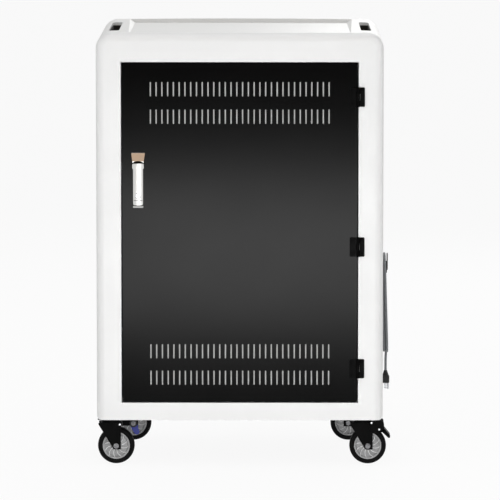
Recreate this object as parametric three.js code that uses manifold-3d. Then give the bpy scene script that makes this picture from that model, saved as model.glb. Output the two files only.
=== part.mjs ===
// Laptop charging cart in millimetres: X to the right, Y to the back, Z up.
// It is built with its front face at Y = 0 and the floor at Z = 0.
import * as THREE from "three";
import { mergeVertices } from "three/addons/utils/BufferGeometryUtils.js";
import Module from "manifold-3d";

const wasm = await Module();
wasm.setup();

// Driving dimensions
const WIDTH = 775;
const DEPTH = 600;
const RIM = 1177;
const REAR_RISE = 10;
const SHEET = 1.5;
const GAP = 0.3;
const CASTER = { trail: 13, radius: 50, rim: 37, headroom: 28, tread: 16, hub: 17.5, sides: 20 };
const FRAME = {
  depth: 46,
  edge: 24,
  corner: 42,
  foot: 10,
  wall: 2,
  lip: 21,
  stile: 67.5,
  head: 78,
  sill: 47.5,
};
const HALF = WIDTH / 2;
const BOTTOM = 2 * CASTER.radius + CASTER.headroom;
const OPENING = { half: HALF - FRAME.stile, low: BOTTOM + FRAME.sill, high: RIM - FRAME.head };

// Front door, its vent rows, hinges and lock
const DOOR_GAP = 3;
const DOOR = {
  half: OPENING.half - DOOR_GAP,
  bottom: OPENING.low + DOOR_GAP,
  top: OPENING.high - DOOR_GAP,
  depth: 18,
};
const VENT = {
  pitch: 15.5,
  width: 3.6,
  height: 39,
  margin: 68,
  rows: [DOOR.top - 70, DOOR.top - 144, DOOR.bottom + 137.5, DOOR.bottom + 65.5],
};
VENT.count = Math.floor((2 * (DOOR.half - VENT.margin)) / VENT.pitch);
const HINGE = {
  y: -4.9,
  radius: 4.5,
  pin: 2.4,
  height: 52,
  leaf: 3,
  inner: 22,
  outer: 18,
  at: [DOOR.top - 91, (DOOR.top + DOOR.bottom) / 2 - 37.25, DOOR.bottom + 90.5],
};
const LOCK = { inset: 43.5, drop: 285, rise: 44, tail: 104.3, pivotY: -13, catch: 13 };
LOCK.x = LOCK.inset - DOOR.half;
LOCK.z = DOOR.top - LOCK.drop;
LOCK.top = LOCK.z + LOCK.rise;
LOCK.bottom = LOCK.z - LOCK.tail;
LOCK.plugZ = LOCK.z - 71;
LOCK.cam = LOCK.inset + DOOR_GAP + LOCK.catch;

// Shell
const PANEL_FLANGE = 22;
const PAN = { wall: 2, flange: 36 };
const COVER = {
  skirt: RIM - 72,
  wall: 2.5,
  floor: RIM - SHEET,
  trayHalf: HALF - 90.5,
  traySlope: 16,
  trayBack: DEPTH - 38,
};
const SLOT = { inner: HALF - 59.5, outer: HALF - 31.5, front: FRAME.depth + 64, back: DEPTH - 160 };
const CUP = { wall: 2, depth: 28, flange: 5 };

// Rear door
const REAR = { half: HALF - 42.5, bottom: BOTTOM + 40, top: COVER.skirt - 3, gap: 4.5, depth: 15 };
REAR.pivotX = REAR.half - 8;
const REAR_VENT = {
  pitch: 56,
  width: 8,
  height: 39,
  margin: 80,
  rows: [REAR.top - 72, REAR.bottom + 72],
};
REAR_VENT.count = Math.floor((2 * (REAR.half - REAR_VENT.margin)) / REAR_VENT.pitch);

// Inside
const BAY = { pitch: 50, fin: 3, height: 240, front: 75, clear: 7, partition: 402 };
BAY.back = BAY.partition - BAY.clear;
BAY.count = Math.floor((2 * DOOR.half) / BAY.pitch);
const SHELVES = { setback: 16, rise: 54, pitch: 458 };
SHELVES.front = FRAME.depth + SHELVES.setback;
SHELVES.lower = BOTTOM + SHELVES.rise;
SHELVES.upper = SHELVES.lower + SHELVES.pitch;
const WINDOW = { middle: 150, half: 120, rise: 300, height: 36 };

// Cord
const CORD = {
  diameter: 7,
  pitch: 7.8,
  fold: 21.2,
  run: 204,
  turns: 4,
  y: 420,
  z: 500,
  wall: 6.9,
  lean: 0.03,
};

const COLOURS = {
  white: 0xe8e8e6,
  black: 0x18191b,
  grey: 0xa9abad,
  steel: 0xb8bbbe,
  chrome: 0xd6d6d4,
  blue: 0x3a48b0,
  cable: 0x7d7f82,
  rubber: 0x111112,
};
const MATERIALS = Object.fromEntries(
  Object.entries(COLOURS).map(([name, color]) => [
    name,
    new THREE.MeshStandardMaterial({ name, color, flatShading: true }),
  ]),
);

// Solids: every piece is a manifold-3d solid made from three.js geometry
function solid(geometry) {
  const bare = new THREE.BufferGeometry();
  bare.setAttribute("position", geometry.getAttribute("position"));
  if (geometry.index) {
    bare.setIndex(geometry.index);
  }
  const merged = mergeVertices(bare, 1e-4);
  return new wasm.Manifold(
    new wasm.Mesh({
      numProp: 3,
      vertProperties: merged.getAttribute("position").array,
      triVerts: new Uint32Array(merged.index.array),
    }),
  );
}

function geometryOf(body) {
  const mesh = body.getMesh();
  const geometry = new THREE.BufferGeometry();
  geometry.setAttribute("position", new THREE.BufferAttribute(mesh.vertProperties, mesh.numProp));
  geometry.setIndex(new THREE.BufferAttribute(mesh.triVerts, 1));
  geometry.computeVertexNormals();
  return geometry;
}

function union(first, ...others) {
  return others.reduce((sum, body) => sum.add(body), first);
}

function cut(first, ...others) {
  return others.reduce((rest, body) => rest.subtract(body), first);
}

function block(x0, x1, y0, y1, z0, z1) {
  const box = new THREE.BoxGeometry(x1 - x0, y1 - y0, z1 - z0);
  return solid(box.translate((x0 + x1) / 2, (y0 + y1) / 2, (z0 + z1) / 2));
}

const X_AXIS = new THREE.Vector3(1, 0, 0);
const Y_AXIS = new THREE.Vector3(0, 1, 0);
const Z_AXIS = new THREE.Vector3(0, 0, 1);

// An outline is drawn in (Y, Z) for axis x, in (X, Z) for axis y and in (X, Y) for axis z
const PLANES = {
  x: new THREE.Matrix4().makeBasis(Y_AXIS, Z_AXIS, X_AXIS),
  y: new THREE.Matrix4().makeBasis(X_AXIS, Z_AXIS, Y_AXIS.clone().negate()),
  z: new THREE.Matrix4(),
};

function onto(axis, from, to) {
  const along = { x: [from, 0, 0], y: [0, to, 0], z: [0, 0, from] }[axis];
  return new THREE.Matrix4().makeTranslation(...along).multiply(PLANES[axis]);
}

function extrude(shape, axis, from, to, curveSegments = 5) {
  const options = { depth: to - from, bevelEnabled: false, curveSegments };
  const geometry = new THREE.ExtrudeGeometry(shape, options);
  return solid(geometry.applyMatrix4(onto(axis, from, to)));
}

// An extrusion along Y whose two ends are rounded by edge
function cushion(shape, from, to, edge, curveSegments = 5) {
  const geometry = new THREE.ExtrudeGeometry(shape, {
    depth: to - from - 2 * edge,
    bevelEnabled: true,
    bevelThickness: edge,
    bevelSize: edge,
    bevelOffset: -edge,
    bevelSegments: 4,
    curveSegments,
  });
  return geometry.applyMatrix4(onto("y", from, to - edge));
}

function polygon(points) {
  return new THREE.Shape(points.map(([u, v]) => new THREE.Vector2(u, v)));
}

// A rectangle with round corners: top for the two upper ones, foot for the two lower ones
function roundRect(u0, u1, v0, v1, top, foot = top) {
  const shape = new THREE.Shape();
  shape.moveTo(u0 + foot, v0);
  shape.lineTo(u1 - foot, v0);
  shape.absarc(u1 - foot, v0 + foot, foot, -Math.PI / 2, 0);
  shape.lineTo(u1, v1 - top);
  shape.absarc(u1 - top, v1 - top, top, 0, Math.PI / 2);
  shape.lineTo(u0 + top, v1);
  shape.absarc(u0 + top, v1 - top, top, Math.PI / 2, Math.PI);
  shape.lineTo(u0, v0 + foot);
  shape.absarc(u0 + foot, v0 + foot, foot, Math.PI, 1.5 * Math.PI);
  return shape;
}

function cylinder(axis, [u, v], radius, from, to, sides = 16) {
  const geometry = new THREE.CylinderGeometry(radius, radius, to - from, sides);
  geometry.rotateX(Math.PI / 2).rotateZ(Math.PI / sides).translate(u, v, (to - from) / 2);
  return solid(geometry.applyMatrix4(onto(axis, from, to)));
}

// A ring turned about the Y axis through (x, z); the closed profile lists (radius to the flats, y)
function turned(profile, x, z, sides) {
  const outward = 1 / Math.cos(Math.PI / sides);
  const points = [...profile, profile[0]].map(([radius, y]) => new THREE.Vector2(radius * outward, y));
  const geometry = new THREE.LatheGeometry(points, sides, Math.PI / sides);
  return solid(geometry.translate(x, 0, z));
}

function lerp(from, to, share) {
  return from + (to - from) * share;
}

// The group that holds every named piece
const cart = new THREE.Group();
cart.name = "laptop_charging_cart";

function add(name, body, material, group = cart) {
  const mesh = new THREE.Mesh(geometryOf(body), MATERIALS[material]);
  mesh.name = name;
  group.add(mesh);
}

// Front frame: a hollow white surround with a round outer edge and a turned-in lip at the door
function frontFrame() {
  const inside = FRAME.wall;
  const reach = 2 * FRAME.depth;
  const low = BOTTOM - 2 * FRAME.edge;
  const skin = solid(cushion(roundRect(-HALF, HALF, low, RIM, FRAME.corner), 0, reach, FRAME.edge));
  const profile = roundRect(-HALF, HALF, BOTTOM, RIM, FRAME.corner, FRAME.foot);
  const outer = skin.intersect(extrude(profile, "y", 0, FRAME.depth));
  const hollowSkin = solid(
    cushion(
      roundRect(-HALF + inside, HALF - inside, low, RIM - inside, FRAME.corner - inside),
      inside,
      reach,
      FRAME.edge - inside,
    ),
  );
  const corner = FRAME.corner - inside;
  const room = roundRect(-HALF + inside, HALF - inside, BOTTOM + inside, RIM - inside, corner, FRAME.foot);
  const hollow = hollowSkin.intersect(extrude(room, "y", inside, FRAME.depth + 1));
  const { half, low: sill, high: head } = OPENING;
  const lip = block(-half - inside, half + inside, 0, FRAME.lip, sill - inside, head + inside);
  const opening = block(-half, half, -1, FRAME.depth + 1, sill, head);
  return cut(outer, hollow.subtract(lip), opening);
}

// Side panel: one sheet with a front flange and a round rear corner that turns into the rear flange
function sidePanel(side) {
  const front = FRAME.depth + GAP;
  const rear = REAR.half + REAR.gap;
  const flange = HALF - PANEL_FLANGE;
  const radius = FRAME.edge;
  const shape = new THREE.Shape();
  shape.moveTo(flange, front);
  shape.lineTo(HALF, front);
  shape.lineTo(HALF, DEPTH - radius);
  shape.absarc(HALF - radius, DEPTH - radius, radius, 0, Math.PI / 2);
  shape.lineTo(rear, DEPTH);
  shape.lineTo(rear, DEPTH - SHEET);
  shape.lineTo(HALF - radius, DEPTH - SHEET);
  shape.absarc(HALF - radius, DEPTH - radius, radius - SHEET, Math.PI / 2, 0, true);
  shape.lineTo(HALF - SHEET, front + SHEET);
  shape.lineTo(flange, front + SHEET);
  const panel = extrude(shape, "z", BOTTOM, COVER.skirt - GAP);
  return side > 0 ? panel : panel.mirror([1, 0, 0]);
}

// Base pan: a floor sheet with four turned-up flanges
function basePan() {
  const half = HALF - SHEET - GAP;
  const front = FRAME.depth + GAP + SHEET + GAP;
  const back = DEPTH - SHEET - GAP;
  const corner = FRAME.edge - SHEET - GAP;
  const { wall, flange } = PAN;
  const outer = roundRect(-half, half, front, back, corner, 1);
  const inner = roundRect(-half + wall, half - wall, front + wall, back - wall, corner - wall, 1);
  return cut(
    extrude(outer, "z", BOTTOM, BOTTOM + flange, 2),
    extrude(inner, "z", BOTTOM + wall, BOTTOM + flange + 1, 2),
  );
}

// Top cover: a moulded rim whose rails and rear edge rise towards the back, with two hand slots
function risen(geometry) {
  const position = geometry.getAttribute("position");
  const front = FRAME.depth;
  const back = DEPTH - FRAME.edge;
  for (let i = 0; i < position.count; i += 1) {
    const share = Math.min((position.getY(i) - front) / (back - front), 1);
    const z = position.getZ(i);
    const height = (z - COVER.skirt) / (RIM - FRAME.corner - COVER.skirt);
    position.setZ(i, z + REAR_RISE * share * THREE.MathUtils.clamp(height, 0, 1));
  }
  return geometry;
}

function handSlot(side, grow, from, to) {
  const u0 = side > 0 ? SLOT.inner : -SLOT.outer;
  const u1 = side > 0 ? SLOT.outer : -SLOT.inner;
  const radius = (u1 - u0) / 2;
  const middle = (u0 + u1) / 2;
  const outline = new THREE.Shape();
  outline.absarc(middle, SLOT.front + radius, radius + grow, Math.PI, 2 * Math.PI);
  outline.absarc(middle, SLOT.back - radius, radius + grow, 0, Math.PI);
  return extrude(outline, "z", from, to, 6);
}

function topCover() {
  const wall = COVER.wall;
  const ceiling = COVER.floor - wall;
  const low = COVER.skirt - 2 * FRAME.edge;
  const outline = roundRect(-HALF, HALF, low, RIM, FRAME.corner);
  const skin = solid(risen(cushion(outline, -FRAME.depth, DEPTH, FRAME.edge)));
  const slab = block(-HALF - 1, HALF + 1, FRAME.depth + GAP, DEPTH + 1, COVER.skirt, RIM + 2 * REAR_RISE);
  const inset = roundRect(-HALF + wall, HALF - wall, low, ceiling, FRAME.corner - wall);
  const hollow = solid(cushion(inset, -FRAME.depth, DEPTH - wall, FRAME.edge - wall));
  const floor = COVER.floor;
  const high = RIM + 2 * REAR_RISE;
  const slope = (COVER.traySlope * (high - floor)) / REAR_RISE;
  const tray = polygon([
    [-COVER.trayHalf, floor],
    [COVER.trayHalf, floor],
    [COVER.trayHalf + slope, high],
    [-COVER.trayHalf - slope, high],
  ]);
  return cut(
    skin.intersect(slab),
    hollow,
    block(-COVER.trayHalf, COVER.trayHalf, 0, COVER.trayBack, low, high),
    extrude(tray, "y", 0, COVER.trayBack),
    handSlot(1, 0, ceiling - 10, high),
    handSlot(-1, 0, ceiling - 10, high),
  );
}

// Tray panel: a flat sheet that closes the middle of the cover
function trayPanel() {
  const half = COVER.trayHalf - GAP;
  return block(-half, half, FRAME.depth + GAP, COVER.trayBack - GAP, COVER.floor - COVER.wall, COVER.floor);
}

// Grip cup: a black liner in each hand slot, held under the cover by its flange
function gripCup(side) {
  const ceiling = COVER.floor - COVER.wall;
  const { wall } = CUP;
  const bottom = ceiling - CUP.depth;
  const body = handSlot(side, -GAP, bottom, COVER.floor - 1);
  const reach = HALF - FRAME.corner + 1;
  const flat = block(-reach, reach, 0, DEPTH, bottom, RIM);
  const flange = handSlot(side, CUP.flange, ceiling - GAP - 2.5, ceiling - GAP).intersect(flat);
  return cut(union(body, flange), handSlot(side, -GAP - wall, bottom + wall, COVER.floor));
}

// Charger partition: stands behind the laptop bays, with cable windows above each shelf
function partition() {
  const half = HALF - SHEET - GAP - PAN.wall - GAP;
  const plate = block(
    -half,
    half,
    BAY.partition,
    BAY.partition + SHEET,
    BOTTOM + PAN.wall + GAP,
    COVER.floor - COVER.wall - CUP.depth - 20,
  );
  const windows = [SHELVES.lower + WINDOW.rise, SHELVES.upper + WINDOW.rise].flatMap((z) =>
    [-WINDOW.middle, WINDOW.middle].map((x) =>
      block(x - WINDOW.half, x + WINDOW.half, 0, DEPTH, z, z + WINDOW.height),
    ),
  );
  return cut(plate, ...windows);
}

// Shelf: a sheet with turned-down front and rear flanges
function shelf(z, flange) {
  const half = HALF - SHEET - GAP - PAN.wall - GAP;
  const { front } = SHELVES;
  const back = BAY.partition - GAP;
  const profile = polygon([
    [front, z - flange],
    [front + SHEET, z - flange],
    [front + SHEET, z - SHEET],
    [back - SHEET, z - SHEET],
    [back - SHEET, z - flange],
    [back, z - flange],
    [back, z],
    [front, z],
  ]);
  return extrude(profile, "x", -half, half);
}

// Divider rack: a base with a row of fins that part the laptop bays
function dividerRack(z) {
  const base = z + GAP;
  const span = (BAY.count * BAY.pitch) / 2;
  const foot = block(-span - BAY.fin, span + BAY.fin, BAY.front, BAY.back, base, base + 3);
  const side = polygon([
    [BAY.front, base + 1],
    [BAY.back, base + 1],
    [BAY.back, base + BAY.height],
    [BAY.front + 90, base + BAY.height],
    [BAY.front + 12, base + 120],
    [BAY.front, base + 60],
  ]);
  const fins = Array.from({ length: BAY.count + 1 }, (_, i) => {
    const x = -span + i * BAY.pitch;
    return extrude(side, "x", x - BAY.fin / 2, x + BAY.fin / 2);
  });
  return union(foot, ...fins);
}

// Power strip: a long box with a row of square outlet wells towards the rear door
const STRIP = { half: 290, height: 48, depth: 42, corner: 4, pitch: 46, well: 27, recess: 3, rise: 375 };
STRIP.wells = Math.floor((2 * STRIP.half) / STRIP.pitch);

function powerStrip(z) {
  const front = BAY.partition + SHEET + GAP;
  const back = front + STRIP.depth;
  const outline = roundRect(front, back, z - STRIP.height / 2, z + STRIP.height / 2, STRIP.corner);
  const half = STRIP.well / 2;
  const wells = Array.from({ length: STRIP.wells }, (_, i) => {
    const x = (i - (STRIP.wells - 1) / 2) * STRIP.pitch;
    return block(x - half, x + half, back - STRIP.recess, back + 1, z - half, z + half);
  });
  return cut(extrude(outline, "x", -STRIP.half, STRIP.half, 1), ...wells);
}

// Timer unit with the well and the bearing holes of its rocker switch
const TIMER = { x0: 60, x1: 250, depth: 70, height: 120, rise: 120, corner: 8 };
TIMER.z0 = SHELVES.upper + TIMER.rise;
TIMER.z1 = TIMER.z0 + TIMER.height;
TIMER.switchX = TIMER.x1 - 35;
TIMER.switchZ = (TIMER.z0 + TIMER.z1) / 2;
const ROCKER = { half: 11, height: 13.5, y: BAY.partition + SHEET + GAP + TIMER.depth - 6 };

function timerUnit() {
  const front = BAY.partition + SHEET + GAP;
  const back = front + TIMER.depth;
  const body = extrude(roundRect(TIMER.x0, TIMER.x1, TIMER.z0, TIMER.z1, TIMER.corner), "y", front, back, 3);
  const well = block(
    TIMER.switchX - ROCKER.half - 0.6,
    TIMER.switchX + ROCKER.half + 0.6,
    back - 15,
    back + 1,
    TIMER.switchZ - ROCKER.height - 2.5,
    TIMER.switchZ + ROCKER.height + 2.5,
  );
  const bearing = cylinder(
    "x",
    [ROCKER.y, TIMER.switchZ],
    1.9,
    TIMER.switchX - ROCKER.half - 4,
    TIMER.switchX + ROCKER.half + 4,
    8,
  );
  const { x0, switchZ } = TIMER;
  const display = block(x0 + 24, x0 + 104, back - 1.5, back + 1, switchZ, switchZ + 36);
  return cut(body, well, bearing, display);
}

function rockerSwitch() {
  const { y, half, height } = ROCKER;
  const z = TIMER.switchZ;
  const profile = polygon([
    [y - 3, z - height],
    [y + 9, z - height],
    [y + 5, z],
    [y + 6, z + height],
    [y - 3, z + height],
  ]);
  const body = extrude(profile, "x", TIMER.switchX - half, TIMER.switchX + half);
  const pin = cylinder("x", [y, z], 1.5, TIMER.switchX - half - 3, TIMER.switchX + half + 3, 8);
  return union(body, pin);
}

// Door pans: a slotted sheet with turned-in edges
function ventSlots(vent, from, to) {
  const { count, pitch, width, height, rows } = vent;
  return rows.flatMap((z) =>
    Array.from({ length: count }, (_, i) => {
      const x = (i - (count - 1) / 2) * pitch;
      return block(x - width / 2, x + width / 2, from, to, z - height / 2, z + height / 2);
    }),
  );
}

function frontDoor() {
  const { half, bottom, top, depth } = DOOR;
  const pan = block(-half, half, 0, depth, bottom, top);
  const hollow = block(-half + SHEET, half - SHEET, SHEET, depth + 1, bottom + SHEET, top - SHEET);
  const bore = cylinder("y", [LOCK.x, LOCK.z], 9.2, -1, depth, 12);
  return cut(pan, hollow, bore, ...ventSlots(VENT, -1, depth));
}

function ventFilter(high, low) {
  const half = (VENT.count * VENT.pitch) / 2 + 8;
  const margin = VENT.height / 2 + 10;
  return block(-half, half, SHEET + GAP, SHEET + GAP + 1.5, low - margin, high + margin);
}

// Butt hinge: two outer knuckles and the pin on the frame leaf, the middle knuckle on the door leaf
const HINGE_X = DOOR.half + DOOR_GAP / 2;

function hingeLeaf(z, onFrame) {
  const third = HINGE.height / 3;
  const play = 0.25;
  const low = z - HINGE.height / 2;
  const outerRolls = [[0, third - play], [2 * third + play, 3 * third]];
  const knuckles = onFrame ? outerRolls : [[third + play, 2 * third - play]];
  const back = -GAP;
  const front = back - HINGE.leaf;
  const clear = HINGE.radius + 0.7;
  const plate = onFrame
    ? block(HINGE_X + clear, HINGE_X + HINGE.outer, front, back, low, low + HINGE.height)
    : block(HINGE_X - HINGE.inner, HINGE_X - clear, front, back, low, low + HINGE.height);
  const rolls = knuckles.flatMap(([from, to]) => [
    cylinder("z", [HINGE_X, HINGE.y], HINGE.radius, low + from, low + to, 12),
    onFrame
      ? block(HINGE_X, HINGE_X + clear + 1, front, back, low + from, low + to)
      : block(HINGE_X - clear - 1, HINGE_X, front, back, low + from, low + to),
  ]);
  const leaf = union(plate, ...rolls);
  return onFrame
    ? union(leaf, cylinder("z", [HINGE_X, HINGE.y], HINGE.pin, low, low + HINGE.height, 8))
    : cut(leaf, cylinder("z", [HINGE_X, HINGE.y], HINGE.pin + 0.4, low - 1, low + HINGE.height + 1, 8));
}

// Swing handle: base plate, spindle with cam, lever and key plug
const LEVER = { half: 13.3, shoulder: 15.5, corner: 3, front: -19.5, back: -7, bevel: 4.5, slope: 3 };
LEVER.top = LOCK.z + LEVER.shoulder;
LEVER.bottom = LOCK.bottom + 5.8;

// The nest in the head of the base clears the corners of the lever as it swings round
function handleBase() {
  const { x, z, top, bottom } = LOCK;
  const { shoulder, corner } = LEVER;
  const ledge = LEVER.top + 1.5;
  const sweep = corner + Math.hypot(shoulder - corner, LEVER.top - z - corner);
  const outline = polygon([
    [x - 13, bottom],
    [x + 13, bottom],
    [x + 14.5, bottom + 6],
    [x + 14.5, ledge],
    [x + 18.5, top],
    [x - 18.5, top],
    [x - 14.5, ledge],
    [x - 14.5, bottom + 6],
  ]);
  const side = polygon([
    [-GAP, bottom],
    [-GAP, top],
    [-8, top],
    [-18, ledge + 5],
    [-18, ledge],
    [-6.5, ledge],
    [-6.5, LEVER.bottom - 1.2],
    [-15, LEVER.bottom - 1.2],
    [-13, bottom],
  ]);
  const body = extrude(outline, "y", -25, 0).intersect(extrude(side, "x", x - 25, x + 25));
  const nest = cylinder("y", [x, z], sweep + 2.3, -25, -6.5, 48);
  return cut(body, nest, cylinder("y", [x, z], 9.2, -10, 1, 12));
}

function lockSpindle() {
  const { x, z, pivotY, cam } = LOCK;
  const shaft = cylinder("y", [x, z], 8.6, -6.8, 24, 12);
  const lug = extrude(roundRect(pivotY - 4.5, -5, z - 4.5, z + 4.5, 4.4), "x", x - 4, x + 4, 2);
  const stem = block(x - 4, x + 4, pivotY, -6, z - 4.5, z + 4.5);
  const behind = FRAME.lip + 1.5;
  const tongue = extrude(roundRect(x - cam, x + 11, z - 10, z + 10, 6), "y", behind, behind + 3, 2);
  const pin = cylinder("x", [pivotY, z], 1.8, x - 11, x + 11, 6);
  return union(shaft, lug, stem, tongue, pin);
}

function lockLever() {
  const { x, z, pivotY, plugZ } = LOCK;
  const { half, shoulder, corner, top, bottom, front, back, bevel, slope } = LEVER;
  const head = extrude(roundRect(x - shoulder, x + shoulder, z, top, corner, 0.5), "y", front, back, 2);
  const bar = extrude(roundRect(x - half, x + half, bottom, z + 2, 0.5, 4), "y", front, back, 3);
  const section = polygon([
    [x - shoulder, back],
    [x + shoulder, back],
    [x + shoulder, front + slope],
    [x + shoulder - bevel, front],
    [x - shoulder + bevel, front],
    [x - shoulder, front + slope],
  ]);
  const body = union(head, bar).intersect(extrude(section, "z", bottom - 1, top + 1));
  const relief = block(x - 20, x + 20, pivotY, 0, z - 6, z + 30);
  const lugWell = block(x - 4.4, x + 4.4, front + 1.4, 0, z - 7.5, z + 7.5);
  const bearing = cylinder("x", [pivotY, z], 2.3, x - 11.4, x + 11.4, 6);
  const bearingWay = block(x - 11.4, x + 11.4, pivotY, 0, z - 2.3, z + 2.3);
  const plugBore = cylinder("y", [x, plugZ], 7.4, front - 1, front + 10, 12);
  const groove = block(x - 20, x + 20, front - 1, front + 0.8, plugZ - 13.6, plugZ - 12.4);
  return cut(body, relief, lugWell, bearing, bearingWay, plugBore, groove);
}

function keyPlug() {
  const { x, plugZ } = LOCK;
  const { front } = LEVER;
  const plug = cylinder("y", [x, plugZ], 6.9, front - 0.8, front + 9.6, 12);
  return cut(plug, block(x - 0.8, x + 0.8, front - 2, front + 3, plugZ - 4, plugZ + 4));
}

// Rear door: a second pan on two pivot pins, closed by a quarter-turn lock
const PIVOT_Y = DEPTH - 8;
const REAR_LOCK = { x: -REAR.half + 28, z: (REAR.bottom + REAR.top) / 2 + 5 };

function rearDoor() {
  const { half, bottom, top, depth, pivotX } = REAR;
  const front = DEPTH - depth;
  const pan = block(-half, half, front, DEPTH, bottom, top);
  const hollow = block(-half + SHEET, half - SHEET, front - 1, DEPTH - SHEET, bottom + SHEET, top - SHEET);
  const pins = cylinder("z", [pivotX, PIVOT_Y], 4, bottom - 5, top + 5, 12);
  const bore = cylinder("y", [REAR_LOCK.x, REAR_LOCK.z], 9.2, front, DEPTH + 1, 12);
  return cut(pan, hollow, pins, bore, ...ventSlots(REAR_VENT, front - 1, DEPTH + 1));
}

function rearPivot(upper) {
  const { pivotX, top, bottom } = REAR;
  const back = DEPTH - SHEET - GAP;
  const face = upper ? top + 0.6 : bottom - 0.6;
  const far = upper ? face + 2.3 : face - 2.3;
  const pinEnd = upper ? top - 12 : bottom + 12;
  const x1 = HALF - FRAME.edge - 2;
  const bracket = block(pivotX - 9, x1, back - 14, back, Math.min(face, far), Math.max(face, far));
  const pin = cylinder("z", [pivotX, PIVOT_Y], 3.6, Math.min(pinEnd, far), Math.max(pinEnd, far), 12);
  const x0 = REAR.half + REAR.gap + 2;
  const tab = block(x0, x1, back - 2, back, Math.min(face, pinEnd), Math.max(face, pinEnd));
  return union(bracket, pin, tab);
}

function rearLock() {
  const { x, z } = REAR_LOCK;
  const head = cylinder("y", [x, z], 12, DEPTH + GAP, DEPTH + 3.5, 16);
  const barrel = cylinder("y", [x, z], 8.8, DEPTH - REAR.depth - 8, DEPTH + 1, 12);
  const y = DEPTH - REAR.depth - 8;
  const cam = extrude(roundRect(x - 44, x + 11, z - 9, z + 9, 5), "y", y, y + 3, 2);
  const keyway = block(x - 0.8, x + 0.8, DEPTH + 1, DEPTH + 5, z - 4, z + 4);
  return cut(union(head, barrel, cam), keyway);
}

// Casters: plate with raceway and king pin, fork, axle bolt, ribbed rim, tyre and brake pedal
const WHEEL_X = CASTER.trail;
const WHEEL_Z = CASTER.radius;
const PEDAL = { x: WHEEL_X + 7, z: BOTTOM - 32 };
const CROWN = { top: BOTTOM - 15.2, bottom: BOTTOM - 23, half: 29, leg: 3.5, side: 22.5, corner: 12 };
const PLATE = { half: 36, reach: 47, corner: 5, holeX: 27, holeY: 38, thick: 3, race: 29 };

function casterPlate() {
  const { half, reach, corner, holeX, holeY, thick } = PLATE;
  const low = BOTTOM - GAP - thick;
  const plate = extrude(roundRect(-half, half, -reach, reach, corner), "z", low, BOTTOM - GAP, 1);
  const holes = [-holeX, holeX].flatMap((u) =>
    [-holeY, holeY].map((v) => cylinder("z", [u, v], 4.2, low - 10, BOTTOM + 10, 6)),
  );
  const race = cylinder("z", [0, 0], PLATE.race, CROWN.top + 0.4, BOTTOM - thick, 16);
  const kingPin = cylinder("z", [0, 0], 5.8, CROWN.bottom - 2, CROWN.top + 1.2, 8);
  const rivet = cylinder("z", [0, 0], 9, CROWN.bottom - 2.6, CROWN.bottom - 0.4, 8);
  return union(cut(plate, ...holes), race, kingPin, rivet);
}

function casterFork(brake) {
  const { top, bottom, half, side, corner } = CROWN;
  const shoulder = bottom + 2;
  const inner = side - CROWN.leg;
  const leg = new THREE.Shape();
  leg.moveTo(-half, shoulder);
  leg.lineTo(WHEEL_X - 9, WHEEL_Z - 3);
  leg.absarc(WHEEL_X, WHEEL_Z, 9.5, 1.1 * Math.PI, 1.5 * Math.PI);
  leg.lineTo(WHEEL_X + 13, WHEEL_Z - 9.5);
  leg.lineTo(WHEEL_X + 13, shoulder);
  const crown = extrude(roundRect(-half, half, -side, side, corner), "z", bottom, top, 2);
  const legs = [[inner, side], [-side, -inner]].map(([from, to]) => extrude(leg, "y", from, to, 4));
  const fork = cut(
    union(crown, ...legs),
    cylinder("z", [0, 0], 6.6, bottom - 5, top + 5, 8),
    cylinder("y", [WHEEL_X, WHEEL_Z], 5.6, -30, 30, 8),
  );
  const pivot = [PEDAL.x, PEDAL.z];
  const pins = [[20, 27], [-27, -20]].map(([from, to]) => cylinder("y", pivot, 3, from, to, 6));
  const housing = block(WHEEL_X - 36, WHEEL_X - 8.5, -24.5, -19.5, WHEEL_Z - 8, WHEEL_Z + 16);
  const extras = { none: [], pedal: pins, lever: [housing] }[brake];
  return union(fork, ...extras);
}

// The bolt of the caster with the side lever has a longer head, which carries that lever
function casterAxle(brake) {
  const centre = [WHEEL_X, WHEEL_Z];
  const bolt = cylinder("y", centre, 5, brake === "lever" ? -33 : -24, 26, 8);
  const head = cylinder("y", centre, 7.5, -26.5, -22.9, 6);
  const nut = cylinder("y", centre, 7.5, 22.9, 27.5, 6);
  const cap = cylinder("y", centre, 7.5, -35, -32, 6);
  return brake === "lever" ? union(bolt, head, nut, cap) : union(bolt, head, nut);
}

function wheelRim() {
  const { rim, hub, tread, sides } = CASTER;
  const lip = tread - 2;
  const profile = [
    [5.5, -hub],
    [11, -hub],
    [rim - 4, -5],
    [rim - 4, -lip],
    [rim, -lip],
    [rim, lip],
    [rim - 4, lip],
    [rim - 4, 5],
    [11, hub],
    [5.5, hub],
  ];
  const ring = turned(profile, WHEEL_X, WHEEL_Z, sides);
  const ribs = Array.from({ length: 4 }, (_, i) => {
    const rib = new THREE.BoxGeometry(2 * rim - 6, 24, 2.4).rotateY((i * Math.PI) / 4);
    return solid(rib.translate(WHEEL_X, 0, WHEEL_Z));
  });
  const bore = cylinder("y", [WHEEL_X, WHEEL_Z], 10, -30, 30, 8);
  return union(ring, ...ribs.map((rib) => rib.subtract(bore)));
}

function tyre() {
  const { rim, radius, tread, sides } = CASTER;
  const profile = [
    [rim + GAP, 1.5 - tread],
    [radius - 4, -tread],
    [radius, 7 - tread],
    [radius, tread - 7],
    [radius - 4, tread],
    [rim + GAP, tread - 1.5],
  ];
  return turned(profile, WHEEL_X, WHEEL_Z, sides);
}

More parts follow.
